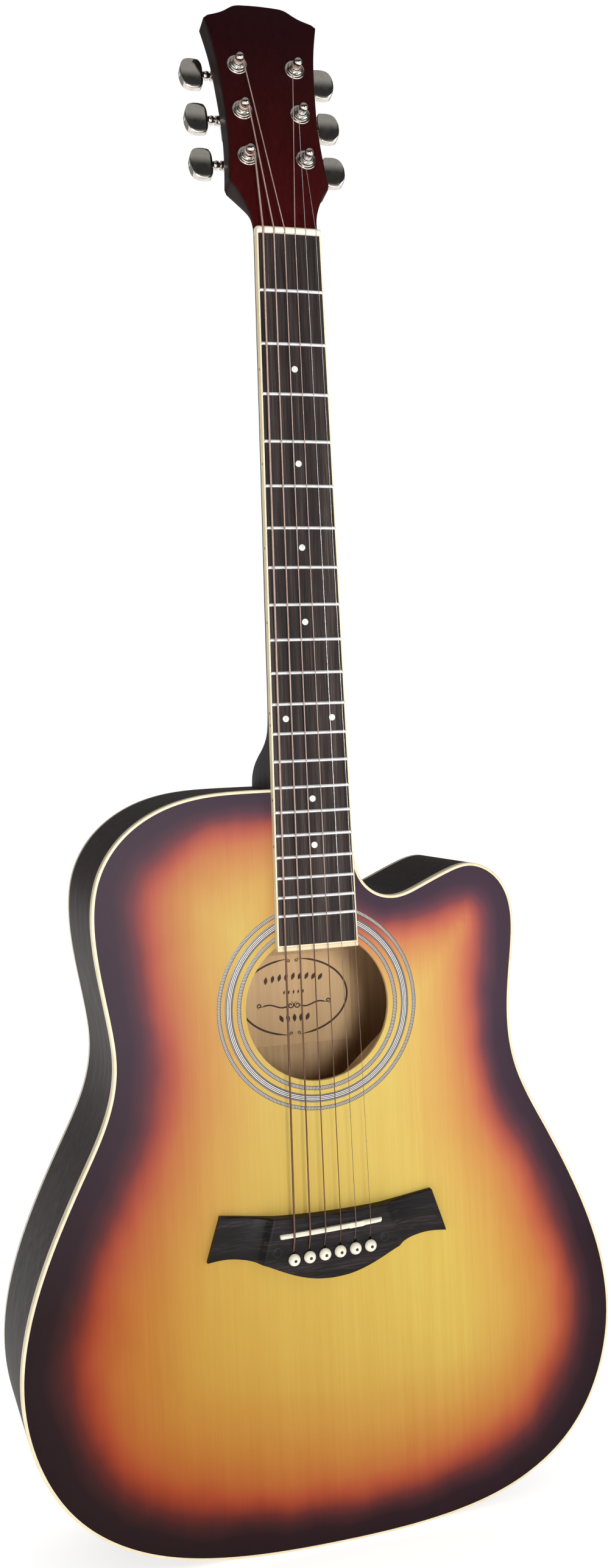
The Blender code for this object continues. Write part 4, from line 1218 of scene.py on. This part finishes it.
def board_ring(wide, down, drop, count):
    """A section of the board, flat below and cambered above."""
    ring = [at(-wide, down, GAP), at(wide, down, GAP)]
    return ring + [at(x, down, BOARD_TOP - camber_drop(x) - drop) for x in np.linspace(wide, -wide, count)]


def build_fingerboard():
    """The board, the binding round it and the pale strip across its end."""
    strip_start = BOARD_LENGTH - END_STRIP
    board_end = BOARD_LENGTH - BOARD_END_EDGE
    places = np.linspace(-NUT_FRONT, board_end, 24)
    rings = [board_ring(half_width(down) - BOARD_EDGE, down, 0, 25) for down in places]
    piece("fingerboard_rosewood", shell_of(rings, False), "rosewood", hides=("fingerboard",))
    end_wide = half_width(strip_start)
    sections = [(-end_wide, strip_start, -(half_width(board_end) - BOARD_EDGE), board_end)]
    for share in np.linspace(-0.95, 0.95, 15):
        sections.append((share * end_wide, strip_start, share * end_wide, board_end))
    sections.append((end_wide, strip_start, half_width(board_end) - BOARD_EDGE, board_end))
    for side, place in ((-1, 0), (1, len(sections) + 1)):
        wide = half_width(-NUT_FRONT)
        sections.insert(place, (side * wide, -NUT_FRONT, side * (wide - BOARD_EDGE), -NUT_FRONT))
    rings = []
    for outer_x, outer_down, inner_x, inner_down in sections:
        ring = []
        for share, drop in ((0, None), (0, 0.0004), (0.15, 0.0001), (0.40, 0), (1, 0), (1, None)):
            x = outer_x + (inner_x - outer_x) * share
            down = outer_down + (inner_down - outer_down) * share
            out = GAP if drop is None else BOARD_TOP - camber_drop(x) - drop
            ring.append(at(x, down, out))
        rings.append(ring)
    shape = shell_of(rings, False)
    piece("fingerboard_edge", shape, "cream_binding", hides=("fingerboard_binding",), sharp=50)
    places = ((strip_start, 0), (BOARD_LENGTH - 0.0005, 0), (BOARD_LENGTH, 0.0006))
    rings = [board_ring(end_wide, down, drop, 17) for down, drop in places]
    piece("fingerboard_end_strip", shell_of(rings, False), "end_wood", sharp=50)


def build_frets():
    """Crowned fret wires that follow the board's cross curve and stop at its binding."""
    for number in range(1, FRET_COUNT + 1):
        down = fret_down(number)
        reach = half_width(down) - BOARD_EDGE + 0.0003
        rings = []
        for share in (-1, -0.985, -0.96, *np.linspace(-0.9, 0.9, 11), 0.96, 0.985, 1):
            x = share * reach
            rise = FRET_HEIGHT * (1 if abs(share) < 0.97 else 0.85 if abs(share) < 0.99 else 0.45)
            base = BOARD_TOP - camber_drop(x) - FRET_SUNK
            ring = []
            for k in range(9):
                angle = math.pi * k / 8
                out = base + (rise + FRET_SUNK) * math.sin(angle)
                ring.append(at(x, down - FRET_HALF_WIDTH * math.cos(angle), out))
            rings.append(ring)
        piece(f"fret_{number:02d}", shell_of(rings, False), "fret_metal", sharp=60)


def build_inlays():
    """Pearl dots in the board and black ones along its bass edge."""
    large = [(0, -0.0006), (DOT_RADIUS, -0.0006), (DOT_RADIUS, 0.00003), (DOT_RADIUS - 0.0001, 0.00006),
             (0, 0.00006)]
    small = [(0, -0.0004), (0.0009, -0.0004), (0.0009, 0.00003), (0, 0.00008)]
    for number in DOT_FRETS:
        down = (fret_down(number) + fret_down(number - 1)) / 2
        for k, x in enumerate((-0.0160, 0.0160) if number == 12 else (0.0,)):
            place = Matrix.Translation(at(x, down, BOARD_TOP - camber_drop(x)))
            turn = Matrix.Rotation(x / CAMBER_RADIUS, 4, "Z") @ Matrix.Rotation(math.pi / 2, 4, "X")
            piece(f"dot_{number:02d}_{k + 1}", moved(turned(large, 32), place @ turn), "pearl")
        for k, shift in enumerate((-0.004, 0.004) if number == 12 else (0.0,)):
            edge = Matrix.Translation(at(-half_width(down + shift), down + shift, 0.0036))
            turn = Matrix.Rotation(-math.pi / 2, 4, "Y")
            piece(f"side_dot_{number:02d}_{k + 1}", moved(turned(small, 16), edge @ turn), "dot")


# ---- strings ---------------------------------------------
STRING_SIDES = 14
BALL_RADIUS = 0.0019
WOUND_STRINGS = 4


def string_look(index):
    return "bronze" if index < WOUND_STRINGS else "plain_string"


def string_line(index, radius, side, row):
    """From the ball under the bridge plate, up beside its pin, over the saddle and the nut, to its post."""
    x, down = pin_place(index)
    ball = down - 0.0044
    shaft = down - 0.0033
    saddle_x = string_x(index, BRIDGE_SPACING)
    saddle = SADDLE_DOWN - saddle_x * SADDLE_LEAN
    saddle_out = SADDLE_TOP - camber_drop(saddle_x) + radius
    nut_x = string_x(index, NUT_SPACING)
    nut_out = NUT_SLOT - camber_drop(nut_x) + radius
    post_x = side * (POST_HALF_SPACING - WRAP_RADIUS - radius)
    corners = [
        at(x, ball, -0.0060), at(x, shaft, 0.0045), at(x, down - 0.0052, BRIDGE_TOP - 0.0004),
        at(saddle_x, saddle + 0.0003, saddle_out), at(nut_x, -NUT_FRONT - 0.0008, nut_out),
        at(nut_x, -0.0048, nut_out), on_head(post_x, POST_UP[row], WRAP_OUT),
    ]
    return eased(corners, 0.0012)


def build_strings():
    for k, (note, radius, side, row, _) in enumerate(STRINGS):
        line = string_line(k, radius, side, row)
        ball = [line[0] + Vector((0, 0.0032, 0)), line[0] + Vector((0, 0.0002, 0))]
        points = ball + line
        radii = [BALL_RADIUS, BALL_RADIUS] + [radius] * len(line)
        shape = tube(points, radii, STRING_SIDES)
        piece("wire_" + note, shape, string_look(k), hides=("string_" + note,), sharp=70)


def build_turns():
    """The turns of each string round its post, some above where the string comes in and some below."""
    for k, (note, radius, side, row, turns) in enumerate(STRINGS):
        reach = WRAP_RADIUS + radius
        centre = Vector((side * POST_HALF_SPACING, POST_UP[row], WRAP_OUT))
        points = []
        steps = int(28 * turns)
        pitch = 2.02 * radius
        for step in range(steps + 1):
            angle = 2 * math.pi * turns * step / steps
            rise = pitch * (turns - 1) * 0.55 + pitch * (0.5 - angle / (2 * math.pi))
            local = Vector((-side * reach * math.cos(angle), reach * math.sin(angle), rise))
            points.append(HEAD_FRAME @ (centre + local))
        shape = tube(points, [radius] * len(points), 10)
        piece("turns_" + note, shape, string_look(k), body="post_" + note, sharp=70)


# ---- tuners ----------------------------------------------
GEAR_RADIUS = 0.0040
GEAR_HALF_HEIGHT = 0.0021
HOUSING_LOW = (-0.0080, -0.0080, -0.0272)
HOUSING_HIGH = (0.0086, 0.0115, -HEAD_THICKNESS - GAP)
BOSS_END = 0.0130
BUTTON_INNER = 0.0186
BUTTON_HALF_WIDTH = 0.0110
BUTTON_EDGE = (
    (BUTTON_INNER, 0.0030), (0.0202, 0.0100), (0.0212, BUTTON_HALF_WIDTH), (0.0288, BUTTON_HALF_WIDTH),
    (0.0310, 0.0099), (0.0327, 0.0075), (0.0338, 0.0040),
)
BUTTON_TIP = 0.0343
BUTTON_HALF_THICKNESS = 0.0034
BUTTON_SIDES = 48


def build_post(note, place):
    """The string post with its gear wheel."""
    low, high = WORM_OUT - GEAR_HALF_HEIGHT, WORM_OUT + GEAR_HALF_HEIGHT
    profile = [(0, low), (GEAR_RADIUS, low), (GEAR_RADIUS, high), (0.0030, high), (0.0030, 0.0038)]
    upper = [(0.0030, 0.0042), (0.0027, 0.0046), (0.0026, 0.0056), (0.0026, 0.0068), (0.0028, 0.0073),
             (0.0029, 0.0083), (0.0027, 0.0096), (0.0019, 0.0105), (0.0010, 0.0108)]
    shape = turned(profile + spline(upper, 3) + [(0, 0.0109)], 36)
    hole = moved(turned([(0, -0.006), (0.0008, -0.006), (0.0008, 0.006), (0, 0.006)], 16),
                 Matrix.Translation((0, 0, WRAP_OUT)) @ Matrix.Rotation(math.pi / 2, 4, "X"))
    shape = combined(shape, hole, "DIFFERENCE")
    piece("post_" + note + "_chrome", moved(shape, place), "chrome", body="post_" + note,
          hides=("tuner_post_" + note,), sharp=40)


def build_bushing(note, place):
    """The washer on the headstock's face and the stepped collar that the post turns in."""
    profile = [(0.0033, -0.0130), (0.0048, -0.0130), (0.0048, 0.0), (0.0070, 0.0), (0.0070, 0.0005),
               (0.0067, 0.0009), (0.0057, 0.0010), (0.0054, 0.0013), (0.0052, 0.0024), (0.0049, 0.0029),
               (0.0043, 0.0031), (0.0041, 0.0033), (0.0040, 0.0037), (0.0037, 0.0040), (0.0033, 0.0040)]
    piece("bushing_" + note, moved(turned(profile, 48, closed=True), place), "chrome",
          hides=("tuner_bushing_" + note,), sharp=30)


def rounded_box(low, high, corner, arris):
    """A block with rounded corners in plan and a softened far face."""
    plan = []
    for start, (x, y) in enumerate(rectangle(low[0], low[1], high[0], high[1])):
        middle = (x - math.copysign(corner, x), y - math.copysign(corner, y))
        for k in range(7):
            angle = math.pi / 2 * (start + k / 6)
            plan.append((middle[0] + corner * math.cos(angle), middle[1] + corner * math.sin(angle)))
    layers = [(0, high[2])] + [(distance, low[2] - out) for distance, out in reversed(quarter(arris, 0, 5))]
    return layered(plan, layers)


def screw(place, radius, height):
    """A domed screw head with a cross recess."""
    dome = [(0, -0.0008), (radius, -0.0008), (radius, 0.0), (radius * 0.92, height * 0.45),
            (radius * 0.62, height * 0.88), (0, height)]
    shape = turned(dome, 28)
    for turn in (0, math.pi / 2):
        wide, long = radius * 0.13, radius * 0.58
        arm = prism(rectangle(-long, -wide, long, wide), height * 0.3, height * 2)
        shape = combined(shape, moved(arm, Matrix.Rotation(turn, 4, "Z")), "DIFFERENCE")
    return moved(shape, place)


def build_housing(note, side, place):
    """The cast case behind the headstock, with its boss and the screw that holds it."""
    case = rounded_box(HOUSING_LOW, HOUSING_HIGH, 0.0028, 0.0022)
    line = [Vector((x, WORM_OFFSET, WORM_OUT)) for x in (0.0070, 0.0106, 0.0112, 0.0126, BOSS_END)]
    boss = tube(line, [0.0036, 0.0034, 0.0032, 0.0032, 0.0028], 32)
    body = flipped(several([case, boss]), side)
    piece("housing_" + note, moved(body, place), "chrome", hides=("tuner_housing_" + note,), sharp=40)
    turn = Matrix.Translation((0, -0.0032, HOUSING_LOW[2])) @ Matrix.Rotation(math.pi, 4, "X")
    piece("housing_screw_" + note, screw(place @ turn, 0.0024, 0.0009), "steel", sharp=35)


def button_head():
    """The button: boxy with soft edges, and slightly crowned so that it shades from top to bottom."""
    edge = spline([*BUTTON_EDGE[:3]], 3)[:-1] + spline([*BUTTON_EDGE[2:], (BUTTON_TIP, 0.0016)], 4)
    rings = []
    for x, half in edge:
        end = min(1, (x - BUTTON_INNER) / 0.0014, (BUTTON_TIP - x) / 0.0014)
        thick = BUTTON_HALF_THICKNESS * (0.72 + 0.28 * math.sqrt(max(0, 1 - (1 - end) ** 2)))
        ring = []
        for k in range(BUTTON_SIDES):
            angle = 2 * math.pi * (k + 0.5) / BUTTON_SIDES
            across, up = math.cos(angle), math.sin(angle)
            y = half * math.copysign(abs(across) ** 0.22, across)
            crown = 1 - 0.26 * (y / BUTTON_HALF_WIDTH) ** 2
            ring.append(Vector((x, y, thick * crown * math.copysign(abs(up) ** 0.30, up))))
        rings.append(ring)
    return shell_of(rings, False)


def build_button(note, side, place):
    """The half-moon button on its worm shaft."""
    spine = ((-0.0066, 0.0020), (0.0142, 0.0020), (0.0144, 0.0030), (0.0160, 0.0032), (0.0168, 0.0026),
             (0.0180, 0.0026), (0.0192, 0.0030), (0.0210, 0.0022))
    shaft = tube([Vector((x, 0, 0)) for x, _ in spine], [radius for _, radius in spine], 28)
    shape = flipped(several([button_head(), shaft]), side)
    worm = place @ Matrix.Translation((0, WORM_OFFSET, WORM_OUT))
    piece("button_" + note + "_chrome", moved(shape, worm), "chrome", body="button_" + note,
          hides=("tuner_button_" + note,), sharp=40)
    turn = worm @ Matrix.Translation((side * BUTTON_TIP, 0, 0)) @ Matrix.Rotation(side * math.pi / 2, 4, "Y")
    piece("button_screw_" + note, screw(turn, 0.0018, 0.0005), "steel", body="button_" + note, sharp=35)


def build_tuners():
    for note, _, side, row, _ in STRINGS:
        place = HEAD_FRAME @ Matrix.Translation((side * POST_HALF_SPACING, POST_UP[row], 0))
        build_post(note, place)
        build_bushing(note, place)
        build_housing(note, side, place)
        build_button(note, side, place)


# ---- what the CAD model keeps ----------------------------
KEPT_NODES = {
    "pale_wood": ("top_lining", "back_lining", "neck_block", "tail_block", "x_brace_bass", "x_brace_treble",
                  "upper_brace", "bridge_plate", "back_brace_upper", "back_brace_lower"),
    "steel": ("truss_rod",),
}


def dress_kept_nodes():
    for look, names in KEPT_NODES.items():
        for name in names:
            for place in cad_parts[name].material_slots:
                place.material = LOOKS[look]


# ---- studio ----------------------------------------------
CAMERA_PLACE = (-0.3056, -1.0185, 0.5430)
CAMERA_SPIN = Vector((0.0329, -0.3013, -0.0475))  # turn of the view: its axis, as long as its angle
LENS = 35.25
SENSOR_WIDTH = 36.0
SHIFT = (0.0003, 0.0134)


def add_camera():
    """The view as a turn from looking square at the soundboard, y down and z into the picture."""
    turn = Matrix.Rotation(CAMERA_SPIN.length, 3, CAMERA_SPIN.normalized())
    world = [Vector((row[0], row[2], -row[1])) for row in turn]
    right, down, forward = world
    columns = (right, -down, -forward)
    matrix = Matrix([[column[k] for column in columns] for k in range(3)]).to_4x4()
    data = bpy.data.cameras.new("camera")
    data.lens = LENS
    data.sensor_width = SENSOR_WIDTH
    data.shift_x, data.shift_y = SHIFT
    data.clip_end = 50
    camera = placed("camera", data)
    camera.matrix_world = Matrix.Translation(CAMERA_PLACE) @ matrix
    bpy.context.scene.camera = camera


LIGHT_AIM = Vector((0.0, 0.0, 0.45))


def add_light(name, place, size, power):
    """A soft light aimed at the middle of the guitar."""
    data = bpy.data.lights.new(name, "AREA")
    data.shape = "RECTANGLE"
    data.size, data.size_y = size
    data.energy = power
    light = placed(name, data)
    light.location = place
    light.rotation_euler = (LIGHT_AIM - Vector(place)).to_track_quat("-Z", "Y").to_euler()


BEHIND = 0.30  # brightness of the room behind the guitar
# Brightness in front of it, from the horizon to straight overhead.
ROOM = ((0.0, 0.34), (0.15, 0.34), (0.40, 0.05), (0.72, 0.04), (0.78, 0.40), (1.0, 0.40))


def add_world():
    """A soft grey room, with a dark band below its ceiling in front of the guitar."""
    world = bpy.data.worlds.new("studio")
    world.use_nodes = True
    tree = world.node_tree
    coordinates = tree.nodes.new("ShaderNodeTexCoord")
    parts = tree.nodes.new("ShaderNodeSeparateXYZ")
    room = tree.nodes.new("ShaderNodeValToRGB")
    reach = tree.nodes.new("ShaderNodeMapRange")
    tree.links.new(coordinates.outputs["Generated"], parts.inputs[0])
    tree.links.new(parts.outputs[2], room.inputs[0])
    tree.links.new(parts.outputs[1], reach.inputs[0])
    while len(room.color_ramp.elements) < len(ROOM):
        room.color_ramp.elements.new(0.5)
    for element, (position, value) in zip(room.color_ramp.elements, ROOM):
        element.position = position
        element.color = (value, value, value, 1)
    for socket, value in zip(reach.inputs[1:5], (-0.20, 0.35, 0.0, BEHIND)):
        socket.default_value = value
    tree.links.new(room.outputs[0], reach.inputs[3])
    backdrop = tree.nodes["Background"]
    backdrop.inputs["Color"].default_value = (1, 1, 1, 1)
    tree.links.new(reach.outputs[0], backdrop.inputs["Strength"])
    bpy.context.scene.world = world


DRUM_RADIUS = 7.8
DRUM_TOP = 16


def add_backdrop():
    """A white drum far round the guitar, which the lens sees but which lights nothing."""
    mesh = as_mesh("backdrop", turned([(DRUM_RADIUS, -1), (DRUM_RADIUS, DRUM_TOP), (0, DRUM_TOP)], 64))
    look = Look("backdrop", Base_Color=(0, 0, 0, 1), Specular_IOR_Level=0.0, Emission_Strength=1.05)
    tone = look.noise((3, 3, 3), 2.0)
    look.set("Emission Color", look.ramp(tone, ((0.3, (254, 254, 254)), (0.7, (255, 255, 255)))))
    mesh.materials.append(look.material)
    backdrop = placed("backdrop", mesh)
    backdrop.visible_diffuse = False
    backdrop.visible_glossy = False
    backdrop.visible_shadow = False


FLOOR_HEIGHT = -0.0004


def add_floor():
    """A pale floor that glows as it goes away from the guitar, so that it meets the backdrop's white."""
    mesh = bpy.data.meshes.new("floor")
    corners = [(x, y, FLOOR_HEIGHT) for x, y in rectangle(-8, -8, 8, 8)]
    mesh.from_pydata(corners, [], [(0, 1, 2, 3)])
    look = Look("floor", Specular_IOR_Level=0.1, Emission_Color=(1, 1, 1, 1))
    away = look.node("VectorMath", look.place(), operation="LENGTH").outputs["Value"]
    look.set("Emission Strength", look.span(away, 0.10, 0.60, 0.64, 0.98))
    tone = look.noise((3, 3, 3), 2.0)
    look.set("Base Color", look.ramp(tone, ((0.3, (244, 244, 244)), (0.7, (250, 250, 250)))))
    look.roughen(tone, (0.7, 0.8))
    mesh.materials.append(look.material)
    placed("floor", mesh)

def add_studio():
    bpy.context.scene.view_settings.view_transform = "Standard"
    add_camera()
    add_world()
    add_backdrop()
    add_floor()
    add_light("key", (-0.19, -2.5, 0.66), (0.45, 0.6), 33.5)
    add_light("fill", (1.2, -1.5, 1.3), (0.7, 1.0), 6.5)


def main():
    outline = body_outline()
    build_soundboard(outline)
    build_back(outline)
    build_sides(outline)
    build_bindings(outline)
    build_rosette()
    build_label()
    build_bridge()
    build_saddle()
    build_pins()
    build_neck()
    build_nut()
    build_fingerboard()
    build_frets()
    build_inlays()
    build_strings()
    build_turns()
    build_tuners()
    dress_kept_nodes()
    add_studio()


main()
